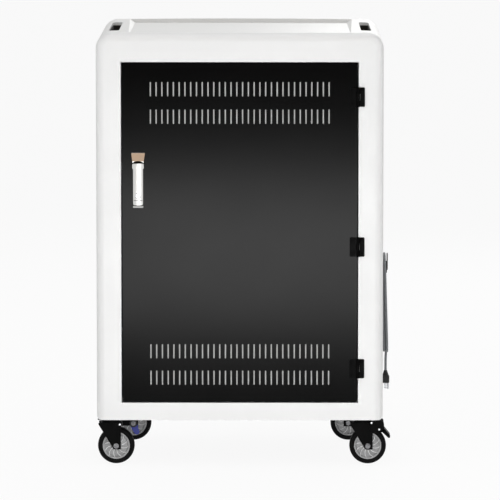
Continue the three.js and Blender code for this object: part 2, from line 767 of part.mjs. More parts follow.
function brakePedal() {
  const { x, z } = PEDAL;
  const arm = polygon([
    [WHEEL_X + 1, z - 4],
    [WHEEL_X + 12, z - 7],
    [WHEEL_X + 38, z - 8],
    [WHEEL_X + 46, z - 4],
    [WHEEL_X + 43, z + 21],
    [WHEEL_X + 36, z + 26],
    [WHEEL_X + 20, z + 26],
    [WHEEL_X + 8, z + 20],
  ]);
  const pad = polygon([
    [WHEEL_X + 37, z - 6],
    [WHEEL_X + 42, z + 2],
    [WHEEL_X + 47, z],
    [WHEEL_X + 61, z - 17],
    [WHEEL_X + 61, z - 22],
    [WHEEL_X + 56, z - 23],
  ]);
  const arms = [[23.1, 25.7], [-25.7, -23.1]].map(([from, to]) => extrude(arm, "y", from, to));
  const bore = cylinder("y", [x, z], 3.6, -30, 30, 6);
  return cut(union(...arms, extrude(pad, "y", -25.7, 25.7)), bore);
}

function brakeLever() {
  const blade = new THREE.Shape();
  blade.absarc(WHEEL_X, WHEEL_Z, 11, 0.2 * Math.PI, 1.2 * Math.PI);
  blade.absarc(WHEEL_X + 9, WHEEL_Z - 24, 8, 1.2 * Math.PI, 2.2 * Math.PI);
  const bore = cylinder("y", [WHEEL_X, WHEEL_Z], 5.6, -40, 0, 8);
  return cut(extrude(blade, "y", -31.6, -26.9, 6), bore);
}

function addCaster(name, x, y, turn, brake) {
  const group = new THREE.Group();
  group.position.set(x, y, 0);
  group.rotation.z = turn;
  cart.add(group);
  add(`${name}_caster_plate`, casterPlate(), "steel", group);
  add(`${name}_caster_fork`, casterFork(brake), "black", group);
  add(`${name}_caster_axle`, casterAxle(brake), "steel", group);
  add(`${name}_wheel_rim`, wheelRim(), "grey", group);
  add(`${name}_tyre`, tyre(), "rubber", group);
  if (brake === "pedal") {
    add(`${name}_brake_pedal`, brakePedal(), "black", group);
  }
  if (brake === "lever") {
    add(`${name}_brake_lever`, brakeLever(), "blue", group);
  }
}

// Cord: a lead from the gland, loops on the hook in two layers, and a free end that hangs with the plug
const WALL = HALF + GAP;
const GLAND = { y: 58, exit: 440, centre: 468 };
const PLUG = { top: 203, face: 168 };

function loopPoint(turn) {
  const radius = CORD.fold + CORD.pitch * Math.abs(turn - (CORD.turns / 2 - 0.25));
  const layer = THREE.MathUtils.smoothstep(turn, CORD.turns / 2 - 0.5, CORD.turns / 2);
  const runShare = 0.25;
  const phase = turn - Math.floor(turn + 1e-9);
  const quarter = Math.floor(phase / runShare + 1e-9) % 4;
  const share = phase / runShare - quarter;
  const low = CORD.z - CORD.run;
  const angle = -Math.PI * share;
  const [y, z] = [
    [radius, lerp(CORD.z, low, share)],
    [radius * Math.cos(angle), low + radius * Math.sin(angle)],
    [-radius, lerp(low, CORD.z, share)],
    [-radius * Math.cos(angle), CORD.z - radius * Math.sin(angle)],
  ][quarter];
  return cordPoint(CORD.wall + CORD.pitch * layer, y, z);
}

function cordPoint(out, y, z) {
  return new THREE.Vector3(WALL + out + CORD.lean * (CORD.z - z), CORD.y + y, z);
}

function cordRoute() {
  const stepsPerTurn = 24;
  const firstTurn = 0.2;
  const lastTurn = CORD.turns + 0.25;
  const lead = [
    [0, GAP],
    [0, 12],
    [3.5, 32],
    [13, 58],
    [22.5, 84],
  ].map(([inward, down]) => cordPoint(CORD.wall, GLAND.y - inward, GLAND.exit - down));
  const loops = [];
  for (let i = Math.ceil(firstTurn * stepsPerTurn); i <= lastTurn * stepsPerTurn; i += 1) {
    loops.push(loopPoint(i / stepsPerTurn));
  }
  const last = loops[loops.length - 1];
  const free = [
    [0.5, last.z - 15],
    [0.3, last.z - 35],
    [-1.2, last.z - 60],
    [-1.5, PLUG.top + 12],
    [-1.5, PLUG.top + GAP],
  ].map(([out, z]) => new THREE.Vector3(last.x + out, last.y, z));
  return [...lead, ...loops, ...free];
}

function tube(route, diameter, sides) {
  const radius = diameter / 2;
  const positions = [];
  const indices = [];
  let across = new THREE.Vector3(1, 0, 0);
  route.forEach((point, i) => {
    const next = route[Math.min(i + 1, route.length - 1)];
    const ahead = next.clone().sub(route[Math.max(i - 1, 0)]).normalize();
    across = across.clone().addScaledVector(ahead, -across.dot(ahead)).normalize();
    const up = ahead.clone().cross(across);
    for (let k = 0; k < sides; k += 1) {
      const angle = (2 * Math.PI * k) / sides;
      const rim = point.clone().addScaledVector(across, radius * Math.cos(angle));
      positions.push(...rim.addScaledVector(up, radius * Math.sin(angle)));
    }
  });
  for (let i = 0; i < route.length - 1; i += 1) {
    for (let k = 0; k < sides; k += 1) {
      const [a, b] = [i * sides + k, i * sides + ((k + 1) % sides)];
      indices.push(a, b, b + sides, a, b + sides, a + sides);
    }
  }
  const end = (route.length - 1) * sides;
  for (let k = 1; k < sides - 1; k += 1) {
    indices.push(0, k + 1, k, end, end + k, end + k + 1);
  }
  const geometry = new THREE.BufferGeometry();
  geometry.setAttribute("position", new THREE.Float32BufferAttribute(positions, 3));
  geometry.setIndex(indices);
  return solid(geometry);
}

// The least gap between stretches of the route that are more than apart along it, from points 1 mm apart
function leastGap(route, diameter, apart) {
  const points = [];
  route.slice(1).forEach((to, i) => {
    const from = route[i];
    const steps = Math.max(1, Math.round(from.distanceTo(to)));
    for (let k = 0; k < steps; k += 1) {
      points.push(from.clone().lerp(to, k / steps));
    }
  });
  let least = Infinity;
  for (let i = 0; i < points.length; i += 1) {
    for (let j = i + apart; j < points.length; j += 1) {
      least = Math.min(least, points[i].distanceToSquared(points[j]));
    }
  }
  return Math.sqrt(least) - diameter;
}

function routeLength(route) {
  return route.slice(1).reduce((sum, point, i) => sum + point.distanceTo(route[i]), 0);
}

function cordGland() {
  const { exit, centre } = GLAND;
  const { x, y } = cordPoint(CORD.wall, GLAND.y, exit);
  const foot = cylinder("x", [y, centre], 13, WALL, WALL + 4, 16);
  const elbow = cylinder("x", [y, centre], 9, WALL + 3, WALL + 15.5, 16);
  const nozzle = cylinder("z", [x, y], 6, exit, centre, 12);
  return union(foot, elbow, nozzle);
}

function cordHook() {
  const radius = CORD.fold - CORD.diameter / 2 - 1;
  const reach = CORD.wall + CORD.pitch + CORD.diameter / 2 + 2;
  const { y, z } = CORD;
  const foot = extrude(roundRect(y - 20, y + 20, z - 20, z + 16, 6), "x", WALL, WALL + 2.5, 2);
  const peg = cylinder("x", [y, z], radius, WALL + 2, WALL + reach + 1, 16);
  const hollow = cylinder("x", [y, z], radius - 4, WALL + 4.5, WALL + reach + 6, 12);
  const end = WALL + reach;
  const tongue = extrude(roundRect(y - 11, y + 11, z - 8, z + radius + 22, 6), "x", end, end + 3, 2);
  return union(foot, cut(peg, hollow), tongue);
}

function powerPlug(end) {
  const { top, face } = PLUG;
  const [x, y] = [end.x, end.y];
  const head = extrude(roundRect(x - 10.5, x + 10.5, y - 13.5, y + 13.5, 5), "z", face, face + 20, 3);
  const taper = solid(
    new THREE.CylinderGeometry(4.6, 9.8, top - face - 19, 12)
      .rotateX(Math.PI / 2)
      .translate(x, y, (top + face + 19) / 2),
  );
  const blades = [-6.35, 6.35].map((offset) =>
    block(x - 3.2, x + 3.2, y + offset - 0.75, y + offset + 0.75, face - 16, face + 1),
  );
  const earth = cylinder("z", [x + 7, y], 2.4, face - 18, face + 1, 8);
  return union(head, taper, ...blades, earth);
}

// Assembly
add("base_pan", basePan(), "black");
add("front_frame", frontFrame(), "white");
add("left_side_panel", sidePanel(-1), "white");
add("right_side_panel", sidePanel(1), "white");
add("top_cover", topCover(), "white");
add("tray_panel", trayPanel(), "white");
add("left_grip_cup", gripCup(-1), "black");
add("right_grip_cup", gripCup(1), "black");
add("charger_partition", partition(), "white");
add("lower_shelf", shelf(SHELVES.lower, 15), "white");
add("upper_shelf", shelf(SHELVES.upper, 22), "white");
add("lower_divider_rack", dividerRack(SHELVES.lower), "black");
add("upper_divider_rack", dividerRack(SHELVES.upper), "black");
add("lower_power_strip", powerStrip(SHELVES.lower + STRIP.rise), "black");
add("upper_power_strip", powerStrip(SHELVES.upper + STRIP.rise), "black");
add("timer_unit", timerUnit(), "grey");
add("rocker_switch", rockerSwitch(), "black");

add("front_door", frontDoor(), "black");
add("upper_vent_filter", ventFilter(VENT.rows[0], VENT.rows[1]), "white");
add("lower_vent_filter", ventFilter(VENT.rows[2], VENT.rows[3]), "white");
["top", "middle", "bottom"].forEach((name, i) => {
  add(`${name}_hinge_frame_leaf`, hingeLeaf(HINGE.at[i], true), "black");
  add(`${name}_hinge_door_leaf`, hingeLeaf(HINGE.at[i], false), "black");
});
add("handle_base", handleBase(), "chrome");
add("lock_spindle", lockSpindle(), "steel");
add("lock_lever", lockLever(), "chrome");
add("key_plug", keyPlug(), "steel");

add("rear_door", rearDoor(), "black");
add("upper_rear_pivot", rearPivot(true), "steel");
add("lower_rear_pivot", rearPivot(false), "steel");
add("rear_lock", rearLock(), "chrome");

const FEET = {
  left: 37.5 - HALF,
  right: HALF - 52.5,
  rear: HALF - 71.5,
  front: FRAME.depth + 24,
  back: DEPTH - 100,
};
addCaster("front_left", FEET.left, FEET.front, 0, "none");
addCaster("front_right", FEET.right, FEET.front, 0, "pedal");
addCaster("rear_left", -FEET.rear, FEET.back, 0, "lever");
addCaster("rear_right", FEET.rear, FEET.back, Math.PI, "none");

add("cord_gland", cordGland(), "black");
add("cord_hook", cordHook(), "black");

// The origin is the middle of the footprint, measured without the cord
cart.updateMatrixWorld(true);
const middle = new THREE.Box3().setFromObject(cart, true).getCenter(new THREE.Vector3());
const route = cordRoute();
add("power_cord", tube(route, CORD.diameter, 6), "cable");
add("power_plug", powerPlug(route[route.length - 1]), "black");
cart.position.set(-middle.x, -middle.y, 0);

const spare = leastGap(route, CORD.diameter, 40);
console.log(
  `cord ${(routeLength(route) / 1000).toFixed(2)} m, least gap ${spare.toFixed(2)} mm,`,
  `shift ${cart.position.x.toFixed(3)} ${cart.position.y.toFixed(3)}`,
);

const holder = new THREE.Group();
holder.add(cart);

export default holder;
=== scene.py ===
"""Laptop charging cart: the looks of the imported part, laid out as an add-on and run as a script."""

from math import asin, atan2, cos, pi, radians, sin, tan

import bmesh
import bpy
from bpy.props import FloatProperty, FloatVectorProperty, PointerProperty
from mathutils import Matrix, Vector


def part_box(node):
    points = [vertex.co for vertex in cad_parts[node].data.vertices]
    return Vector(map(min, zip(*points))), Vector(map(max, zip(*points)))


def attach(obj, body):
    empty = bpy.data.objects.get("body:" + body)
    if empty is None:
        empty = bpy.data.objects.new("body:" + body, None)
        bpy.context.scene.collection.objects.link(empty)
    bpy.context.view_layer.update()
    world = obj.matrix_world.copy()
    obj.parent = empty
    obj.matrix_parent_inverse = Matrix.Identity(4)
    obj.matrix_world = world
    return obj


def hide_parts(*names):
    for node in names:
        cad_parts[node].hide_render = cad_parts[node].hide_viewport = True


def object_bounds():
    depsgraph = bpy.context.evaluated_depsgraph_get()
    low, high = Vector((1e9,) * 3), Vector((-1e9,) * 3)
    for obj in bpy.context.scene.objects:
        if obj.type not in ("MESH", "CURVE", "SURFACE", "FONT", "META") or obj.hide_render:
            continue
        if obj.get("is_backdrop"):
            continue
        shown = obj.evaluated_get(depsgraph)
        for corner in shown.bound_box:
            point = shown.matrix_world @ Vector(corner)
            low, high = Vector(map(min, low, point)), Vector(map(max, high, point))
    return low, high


bl_info = {
    "name": "Laptop charging cart",
    "version": (1, 0, 0),
    "blender": (4, 5, 0),
    "location": "3D view, sidebar, Cart",
    "description": "Models and finishes a wheeled charging cart over its packed frame",
    "category": "Object",
}

# The frame, and the point that sizes are counted from: middle of the cabinet, front face, floor
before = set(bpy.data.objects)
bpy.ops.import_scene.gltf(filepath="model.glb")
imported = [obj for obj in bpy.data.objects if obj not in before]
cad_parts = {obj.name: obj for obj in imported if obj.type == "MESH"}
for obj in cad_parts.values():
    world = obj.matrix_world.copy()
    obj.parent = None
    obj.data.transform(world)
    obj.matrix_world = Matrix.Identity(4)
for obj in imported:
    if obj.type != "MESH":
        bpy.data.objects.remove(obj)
CAD_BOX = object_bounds()
MM = 0.001
FRAME_LOW, FRAME_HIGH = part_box("front_frame")
MIDDLE_X = (FRAME_LOW[0] + FRAME_HIGH[0]) / 2
FRONT_Y = FRAME_LOW[1]

# Sizes in millimetres, as in the part's source
HALF = 387.5
DEPTH = 600
BOTTOM = 128
RIM = 1177
REAR_RISE = 10
SHEET = 1.5
GAP = 0.3
DOOR = {"half": 317, "bottom": 178.5, "top": 1096, "depth": 18, "gap": 3}
VENT = {"count": 32, "pitch": 15.5, "width": 3.6, "height": 39, "rows": (1026, 952, 316, 244)}
REAR = {"half": 345, "bottom": 168, "top": 1102, "depth": 15, "pivot": 337}
REAR_VENT = {"count": 9, "pitch": 56, "width": 8, "height": 39, "rows": (1030, 240)}
COVER = {"skirt": 1105, "wall": 2.5, "floor": 1175.5, "tray": 297, "slope": 16, "back": 562, "crown": 0.28}
HAND_SLOT = {"inner": 328, "outer": 356, "front": 110, "back": 440}
HINGE = {"x": 318.5, "y": -4.9, "radius": 4.5, "height": 52, "at": (1005, 600, 269)}
LOCK = {"x": -273.5, "z": 811, "top": 855, "bottom": 706.7, "pivot": -13, "plug": 740, "nest": 23}
LEVER = {"half": 13.3, "shoulder": 15.5, "top": 826.5, "bottom": 712.5}
LEVER |= {"front": -19.5, "back": -7, "bulge": 30}
CORD = {"pitch": 7.8, "fold": 21.2, "y": 420, "z": 500, "run": 204, "wall": 6.9, "lean": 0.03, "turns": 4}
GLAND = {"y": 58, "exit": 440, "centre": 468}
PLUG = {"top": 203, "face": 168}
STRIPS = {"lower": 557, "upper": 1015}
WALL = HALF + GAP
TRAIL = 13
AXLE = 50
CASTERS = {
    "front_left": (-350, 70, 0, "none"),
    "front_right": (335, 70, 0, "pedal"),
    "rear_left": (-316, 500, 0, "lever"),
    "rear_right": (316, 500, pi, "none"),
}


class CartSizes(bpy.types.PropertyGroup):
    """Sizes that a user may want to change"""

    edge: FloatProperty(
        name="Front edge",
        description="Radius of the round outer edge of the front frame and top cover",
        default=24 * MM,
        unit="LENGTH",
    )
    corner: FloatProperty(
        name="Top corner",
        description="Radius of the upper corners seen from the front",
        default=42 * MM,
        unit="LENGTH",
    )
    cord: FloatProperty(
        name="Cord",
        description="Diameter of the power cord",
        default=7 * MM,
        unit="LENGTH",
    )
    wheel: FloatProperty(
        name="Wheel radius",
        description="Radius of the caster tyres",
        default=50 * MM,
        unit="LENGTH",
    )


def colour_property(name, description, default):
    return FloatVectorProperty(
        name=name, description=description, subtype="COLOR", size=3, min=0, max=1, default=default
    )


class CartColours(bpy.types.PropertyGroup):
    """Colours of the finishes"""

    cabinet: colour_property("Cabinet", "White paint of the cabinet", (0.86, 0.86, 0.855))
    door: colour_property("Door", "Black paint of the doors", (0.001, 0.001, 0.001))
    plastic: colour_property("Plastic", "Black plastic of racks, cups and plugs", (0.0025, 0.0025, 0.0025))
    rim: colour_property("Wheel rim", "Grey plastic of the wheel rims", (0.36, 0.36, 0.362))
    lever: colour_property("Brake lever", "Blue plastic of the side brake lever", (0.014, 0.018, 0.27))
    cable: colour_property("Cable", "Grey sheath of the power cord", (0.2, 0.21, 0.22))


class CartStage(bpy.types.PropertyGroup):
    """Camera"""

    distance: FloatProperty(
        name="Camera distance",
        description="From the camera to the front face",
        default=11.5,
        unit="LENGTH",
    )
    height: FloatProperty(
        name="Camera height",
        description="Height of the camera above the floor",
        default=1.816,
        unit="LENGTH",
    )
    pitch: FloatProperty(
        name="Camera pitch",
        description="How far the camera looks down",
        default=radians(6.077),
        subtype="ANGLE",
    )
    yaw: FloatProperty(
        name="Camera yaw",
        description="How far the camera looks to the left",
        default=radians(0.231),
        subtype="ANGLE",
    )


def sizes():
    return bpy.context.scene.cart_sizes


def colours():
    return bpy.context.scene.cart_colours


# Places and selections
def place(x, y, z):
    return Vector((x * MM + MIDDLE_X, y * MM + FRONT_Y, z * MM))


def begin(piece=None):
    if bpy.context.object and bpy.context.object.mode != "OBJECT":
        bpy.ops.object.mode_set(mode="OBJECT")
    bpy.ops.object.select_all(action="DESELECT")
    if piece:
        piece.select_set(True)
        bpy.context.view_layer.objects.active = piece


def named(name):
    piece = bpy.context.object
    piece.name = name
    piece.data.name = name
    return piece


def pick(piece, kind, rule):
    """Edit mode, with the edges or faces selected that the rule takes."""
    begin(piece)
    bpy.ops.object.mode_set(mode="EDIT")
    bpy.ops.mesh.select_mode(type=kind)
    bpy.ops.mesh.select_all(action="DESELECT")
    mesh = bmesh.from_edit_mesh(piece.data)
    for part in mesh.edges if kind == "EDGE" else mesh.faces:
        part.select_set(rule(part))
    bmesh.update_edit_mesh(piece.data)


def ends(edge):
    return edge.verts[0].co, edge.verts[1].co


def both(edge, axis, value):
    """True where both ends of an edge lie at value on axis."""
    return all(abs(end[axis] - value) < 1e-5 for end in ends(edge))


def along(edge, axis):
    first, second = ends(edge)
    return abs((first - second).normalized()[axis]) > 0.999


# Solids that pieces start from
def block(name, low, high):
    begin()
    low = place(*low)
    high = place(*high)
    bpy.ops.mesh.primitive_cube_add(size=1, location=(low + high) / 2, scale=high - low)
    bpy.ops.object.transform_apply(location=True, rotation=True, scale=True)
    return named(name)


TURNED = {"x": (0, pi / 2, 0), "y": (pi / 2, 0, 0), "z": (0, 0, 0)}


def spot(axis, centre, along_axis):
    u, v = centre
    return {"x": (along_axis, u, v), "y": (u, along_axis, v), "z": (u, v, along_axis)}[axis]


def rod(name, axis, centre, radius, start, end, sides=48, taper=None):
    begin()
    bpy.ops.mesh.primitive_cone_add(
        vertices=sides,
        radius1=radius * MM,
        radius2=(taper or radius) * MM,
        depth=(end - start) * MM,
        location=place(*spot(axis, centre, (start + end) / 2)),
        rotation=TURNED[axis],
    )
    bpy.ops.object.transform_apply(location=True, rotation=True, scale=True)
    return named(name)


def prism(name, outline, axis, start, end):
    """An outline across axis, filled and extruded along it."""
    begin()
    bpy.ops.mesh.primitive_circle_add(vertices=len(outline), fill_type="NGON")
    piece = named(name)
    for vertex, point in zip(piece.data.vertices, outline):
        vertex.co = place(*spot(axis, point, start)) - piece.location
    reach = place(*spot(axis, (0, 0), end)) - place(*spot(axis, (0, 0), start))
    bpy.ops.object.mode_set(mode="EDIT")
    bpy.ops.mesh.select_all(action="SELECT")
    bpy.ops.mesh.extrude_region_move(TRANSFORM_OT_translate={"value": reach})
    bpy.ops.mesh.select_all(action="SELECT")
    bpy.ops.mesh.normals_make_consistent(inside=False)
    begin(piece)
    bpy.ops.object.transform_apply(location=True, rotation=True, scale=True)
    return piece


def filleted(corners, steps=8):
    """Corners (u, v, radius) joined by straight sides, each turned by an arc of its radius."""
    outline = []
    for i, (u, v, radius) in enumerate(corners):
        corner = Vector((u, v))
        if not radius:
            outline.append((u, v))
            continue
        back = (Vector(corners[i - 1][:2]) - corner).normalized()
        ahead = (Vector(corners[(i + 1) % len(corners)][:2]) - corner).normalized()
        half = back.angle(ahead) / 2
        centre = corner + (back + ahead).normalized() * (radius / sin(half))
        first = corner + back * (radius / tan(half)) - centre
        last = corner + ahead * (radius / tan(half)) - centre
        start = atan2(first.y, first.x)
        sweep = (atan2(last.y, last.x) - start + pi) % (2 * pi) - pi
        for k in range(steps + 1):
            angle = start + sweep * k / steps
            outline.append((centre.x + radius * cos(angle), centre.y + radius * sin(angle)))
    return outline


def rounded(u0, u1, v0, v1, radius, steps=8):
    return filleted([(u0, v0, radius), (u1, v0, radius), (u1, v1, radius), (u0, v1, radius)], steps)


def spun(name, profile, x, z, steps=72):
    """A closed profile of (radius, y) turned about the Y axis through x and z."""
    begin()
    bpy.ops.mesh.primitive_circle_add(vertices=len(profile), fill_type="NOTHING")
    piece = named(name)
    for vertex, (radius, y) in zip(piece.data.vertices, profile):
        vertex.co = place(x + radius, y, z)
    piece.location = (0, 0, 0)
    bpy.ops.object.mode_set(mode="EDIT")
    bpy.ops.mesh.select_all(action="SELECT")
    bpy.ops.mesh.spin(steps=steps, angle=2 * pi, center=place(x, 0, z), axis=(0, 1, 0))
    bpy.ops.mesh.select_all(action="SELECT")
    bpy.ops.mesh.remove_doubles(threshold=1e-6)
    bpy.ops.mesh.normals_make_consistent(inside=False)
    begin(piece)
    return piece


# Shaping
def carve(piece, *tools, operation="DIFFERENCE"):
    for tool in tools:
        begin(piece)
        bpy.ops.object.modifier_add(type="BOOLEAN")
        modifier = piece.modifiers[-1]
        modifier.operation = operation
        modifier.object = tool
        modifier.solver = "EXACT"
        bpy.ops.object.modifier_apply(modifier=modifier.name)
        bpy.data.objects.remove(tool)
    return piece


def weld(piece, *others):
    return carve(piece, *others, operation="UNION")


def join(name, *pieces):
    begin(pieces[0])
    for piece in pieces:
        piece.select_set(True)
    bpy.ops.object.join()
    return named(name)


def bevel(piece, rule, width, segments):
    pick(piece, "EDGE", rule)
    bpy.ops.mesh.bevel(offset=width * MM, segments=segments, affect="EDGES", clamp_overlap=False)
    begin(piece)
    return piece


def bisect(piece, point, normal):
    """Cuts away what lies on the normal's side of a plane and closes the cut."""
    pick(piece, "FACE", lambda face: True)
    bpy.ops.mesh.bisect(plane_co=place(*point), plane_no=normal, use_fill=True, clear_outer=True)
    begin(piece)
    return piece


def soften(piece, width, segments=3, angle=40):
    """Rounds every edge sharper than angle."""
    begin(piece)
    bpy.ops.object.modifier_add(type="BEVEL")
    modifier = piece.modifiers[-1]
    modifier.width = width * MM
    modifier.segments = segments
    modifier.limit_method = "ANGLE"
    modifier.angle_limit = radians(angle)
    modifier.harden_normals = False
    bpy.ops.object.modifier_apply(modifier=modifier.name)
    return piece


def smooth(piece, angle=40):
    begin(piece)
    bpy.ops.object.shade_smooth_by_angle(angle=radians(angle))
    bpy.ops.object.modifier_add(type="WEIGHTED_NORMAL")
    modifier = piece.modifiers[-1]
    modifier.keep_sharp = True
    bpy.ops.object.modifier_apply(modifier=modifier.name)
    return piece


def copy(piece, name, move=(0, 0, 0), turn=0):
    """A copy with its own mesh, turned about the upright line through place(0, 0, 0), then moved."""
    begin(piece)
    bpy.ops.object.duplicate(linked=False)
    twin = bpy.context.object
    twin.rotation_euler.z = turn
    origin = place(0, 0, 0)
    twin.location = origin - Matrix.Rotation(turn, 3, "Z") @ origin + Vector(move) * MM
    bpy.ops.object.transform_apply(location=True, rotation=True, scale=True)
    return named(name)


def paint(piece, finish):
    piece.data.materials.clear()
    piece.data.materials.append(finish())
    return piece


def line(piece, finish, rule):
    """Gives a second finish to the faces that the rule takes by their middle, in millimetres."""
    piece.data.materials.append(finish())
    for face in piece.data.polygons:
        where = (face.center - place(0, 0, 0)) / MM
        if rule(where):
            face.material_index = len(piece.data.materials) - 1
    return piece


def settle(piece, body, slot, *nodes):
    """Puts a finished piece on its body, in place of its nodes."""
    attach(piece, body)
    if nodes:
        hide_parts(*nodes)
    return piece


def refinish(node, finish):
    """A CAD node whose shape is right gets its finish."""
    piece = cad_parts[node]
    piece.data.materials.clear()
    piece.data.materials.append(finish())


# Finishes
def shader(name, colour, roughness, metallic=0.0, coat=0.0, specular=0.5):
    material = bpy.data.materials.new(name)
    material.use_nodes = True
    surface = material.node_tree.nodes["Principled BSDF"]
    surface.inputs["Base Color"].default_value = (*colour, 1)
    surface.inputs["Roughness"].default_value = roughness
    surface.inputs["Metallic"].default_value = metallic
    surface.inputs["Coat Weight"].default_value = coat
    surface.inputs["Coat Roughness"].default_value = 0.12
    surface.inputs["Specular IOR Level"].default_value = specular
    return material


def noise(material, scale, detail=3.0, stretch=(1, 1, 1)):
    nodes = material.node_tree.nodes
    links = material.node_tree.links
    where = nodes.new("ShaderNodeTexCoord")
    mapping = nodes.new("ShaderNodeMapping")
    mapping.inputs["Scale"].default_value = stretch
    texture = nodes.new("ShaderNodeTexNoise")
    texture.inputs["Scale"].default_value = scale
    texture.inputs["Detail"].default_value = detail
    links.new(where.outputs["Object"], mapping.inputs["Vector"])
    links.new(mapping.outputs["Vector"], texture.inputs["Vector"])
    return texture.outputs["Fac"]


def mottle(material, scale, low, high, stretch=(1, 1, 1)):
    """Roughness that wanders between low and high."""
    nodes = material.node_tree.nodes
    links = material.node_tree.links
    span = nodes.new("ShaderNodeMapRange")
    span.inputs["From Min"].default_value = 0.3
    span.inputs["From Max"].default_value = 0.7
    span.inputs["To Min"].default_value = low
    span.inputs["To Max"].default_value = high
    links.new(noise(material, scale, 4, stretch), span.inputs["Value"])
    links.new(span.outputs["Result"], nodes["Principled BSDF"].inputs["Roughness"])
    return material


def tint(material, scale, first, second, stretch=(1, 1, 1)):
    """Colour that wanders between two near shades."""
    nodes = material.node_tree.nodes
    links = material.node_tree.links
    ramp = nodes.new("ShaderNodeValToRGB")
    ramp.color_ramp.elements[0].position = 0.35
    ramp.color_ramp.elements[1].position = 0.65
    ramp.color_ramp.elements[0].color = (*first, 1)
    ramp.color_ramp.elements[1].color = (*second, 1)
    links.new(noise(material, scale, 5, stretch), ramp.inputs["Fac"])
    links.new(ramp.outputs["Color"], nodes["Principled BSDF"].inputs["Base Color"])
    return material


def grain(material, scale, depth, strength, stretch=(1, 1, 1)):
    """A fine bump, depth in millimetres."""
    nodes = material.node_tree.nodes
    links = material.node_tree.links
    bump = nodes.new("ShaderNodeBump")
    bump.inputs["Distance"].default_value = depth * MM
    bump.inputs["Strength"].default_value = strength
    links.new(noise(material, scale, 2, stretch), bump.inputs["Height"])
    links.new(bump.outputs["Normal"], nodes["Principled BSDF"].inputs["Normal"])
    return material


def shade(colour, factor):
    return tuple(min(1, channel * factor) for channel in colour)


def once(make):
    """A finish is made at its first use and then shared."""

    def finish():
        return bpy.data.materials.get(make.__name__) or make()

    return finish


@once
def white_paint():
    colour = colours().cabinet
    material = shader("white_paint", colour, 0.42)
    tint(material, 3, shade(colour, 0.985), shade(colour, 1.015))
    mottle(material, 18, 0.38, 0.46)
    return grain(material, 900, 0.05, 0.08)


@once
def white_moulding():
    colour = colours().cabinet
    material = shader("white_moulding", colour, 0.5)
    tint(material, 4, shade(colour, 0.985), shade(colour, 1.015))
    mottle(material, 30, 0.45, 0.55)
    return grain(material, 1600, 0.08, 0.15)


@once
def filter_cloth():
    material = shader("filter_cloth", (0.58, 0.58, 0.57), 0.8)
    tint(material, 900, (0.54, 0.54, 0.53), (0.62, 0.62, 0.61))
    return grain(material, 1200, 0.2, 0.3)


@once
def black_gloss():
    colour = colours().door
    material = shader("black_gloss", colour, 0.19, specular=0.061)
    tint(material, 2, colour, shade(colour, 1.35))
    mottle(material, 6, 0.18, 0.2)
    return grain(material, 700, 0.05, 0.06)


# Black satin of hinges, forks and plates, and also painted shade: the handle's recess floor, key bore and
# seam groove take this black.
@once
def black_satin_and_painted_shade():
    colour = colours().plastic
    material = shader("black_satin_and_painted_shade", colour, 0.35, specular=0.025)
    tint(material, 25, colour, shade(colour, 1.6))
    mottle(material, 60, 0.33, 0.45)
    return grain(material, 900, 0.08, 0.12)


@once
def black_plastic():
    colour = colours().plastic
    material = shader("black_plastic", colour, 0.5, specular=0.09)
    tint(material, 40, colour, shade(colour, 1.5))
    mottle(material, 80, 0.5, 0.62)
    return grain(material, 2200, 0.12, 0.25)


@once
def grey_plastic():
    material = shader("grey_plastic", (0.42, 0.43, 0.44), 0.5)
    tint(material, 20, (0.4, 0.41, 0.42), (0.45, 0.46, 0.47))
    mottle(material, 60, 0.45, 0.56)
    return grain(material, 2000, 0.1, 0.2)


@once
def rim_plastic():
    colour = colours().rim
    material = shader("rim_plastic", colour, 0.38)
    tint(material, 60, shade(colour, 0.9), shade(colour, 1.12))
    mottle(material, 90, 0.33, 0.45)
    return grain(material, 1500, 0.08, 0.12)


# Painted highlight: the wheel ribs are the rim's own plastic, painted 2.4 times lighter to stand in for the
# gloss on their crests.
@once
def rib_painted_highlight():
    colour = shade(colours().rim, 2.4)
    material = shader("rib_painted_highlight", colour, 0.25)
    tint(material, 60, shade(colour, 0.94), shade(colour, 1.06))
    return mottle(material, 90, 0.2, 0.3)


@once
def blue_plastic():
    colour = colours().lever
    material = shader("blue_plastic", colour, 0.3, specular=0.25)
    tint(material, 50, colour, shade(colour, 1.25))
    mottle(material, 80, 0.24, 0.34)
    return grain(material, 1500, 0.05, 0.08)


@once
def satin_chrome():
    material = shader("satin_chrome", (0.76, 0.75, 0.73), 0.14, metallic=1.0)
    tint(material, 30, (0.72, 0.71, 0.69), (0.8, 0.79, 0.77), stretch=(1, 1, 0.2))
    mottle(material, 240, 0.12, 0.17, stretch=(1, 1, 0.08))
    return grain(material, 1800, 0.02, 0.08, stretch=(1, 1, 0.05))


@once
def zinc_steel():
    material = shader("zinc_steel", (0.55, 0.56, 0.58), 0.32, metallic=1.0)
    tint(material, 120, (0.5, 0.51, 0.53), (0.6, 0.61, 0.63))
    mottle(material, 300, 0.26, 0.4)
    return grain(material, 1400, 0.03, 0.1)


@once
def tyre_rubber():
    material = shader("tyre_rubber", (0.005, 0.005, 0.005), 0.5, specular=0.07)
    tint(material, 60, (0.003, 0.003, 0.003), (0.007, 0.007, 0.007))
    mottle(material, 120, 0.52, 0.7)
    return grain(material, 1800, 0.1, 0.2)


@once
def cable_sheath():
    colour = colours().cable
    material = shader("cable_sheath", colour, 0.5)
    tint(material, 90, shade(colour, 0.92), shade(colour, 1.08))
    mottle(material, 200, 0.45, 0.58)
    return grain(material, 2500, 0.04, 0.1)


@once
def dark_zinc():
    material = shader("dark_zinc", (0.14, 0.14, 0.145), 0.4, metallic=1.0)
    tint(material, 120, (0.1, 0.1, 0.105), (0.2, 0.2, 0.205))
    return mottle(material, 300, 0.32, 0.5)


@once
def display_glass():
    material = shader("display_glass", (0.02, 0.03, 0.025), 0.12, coat=0.5)
    tint(material, 30, (0.018, 0.026, 0.022), (0.024, 0.034, 0.028))
    return mottle(material, 50, 0.08, 0.16)


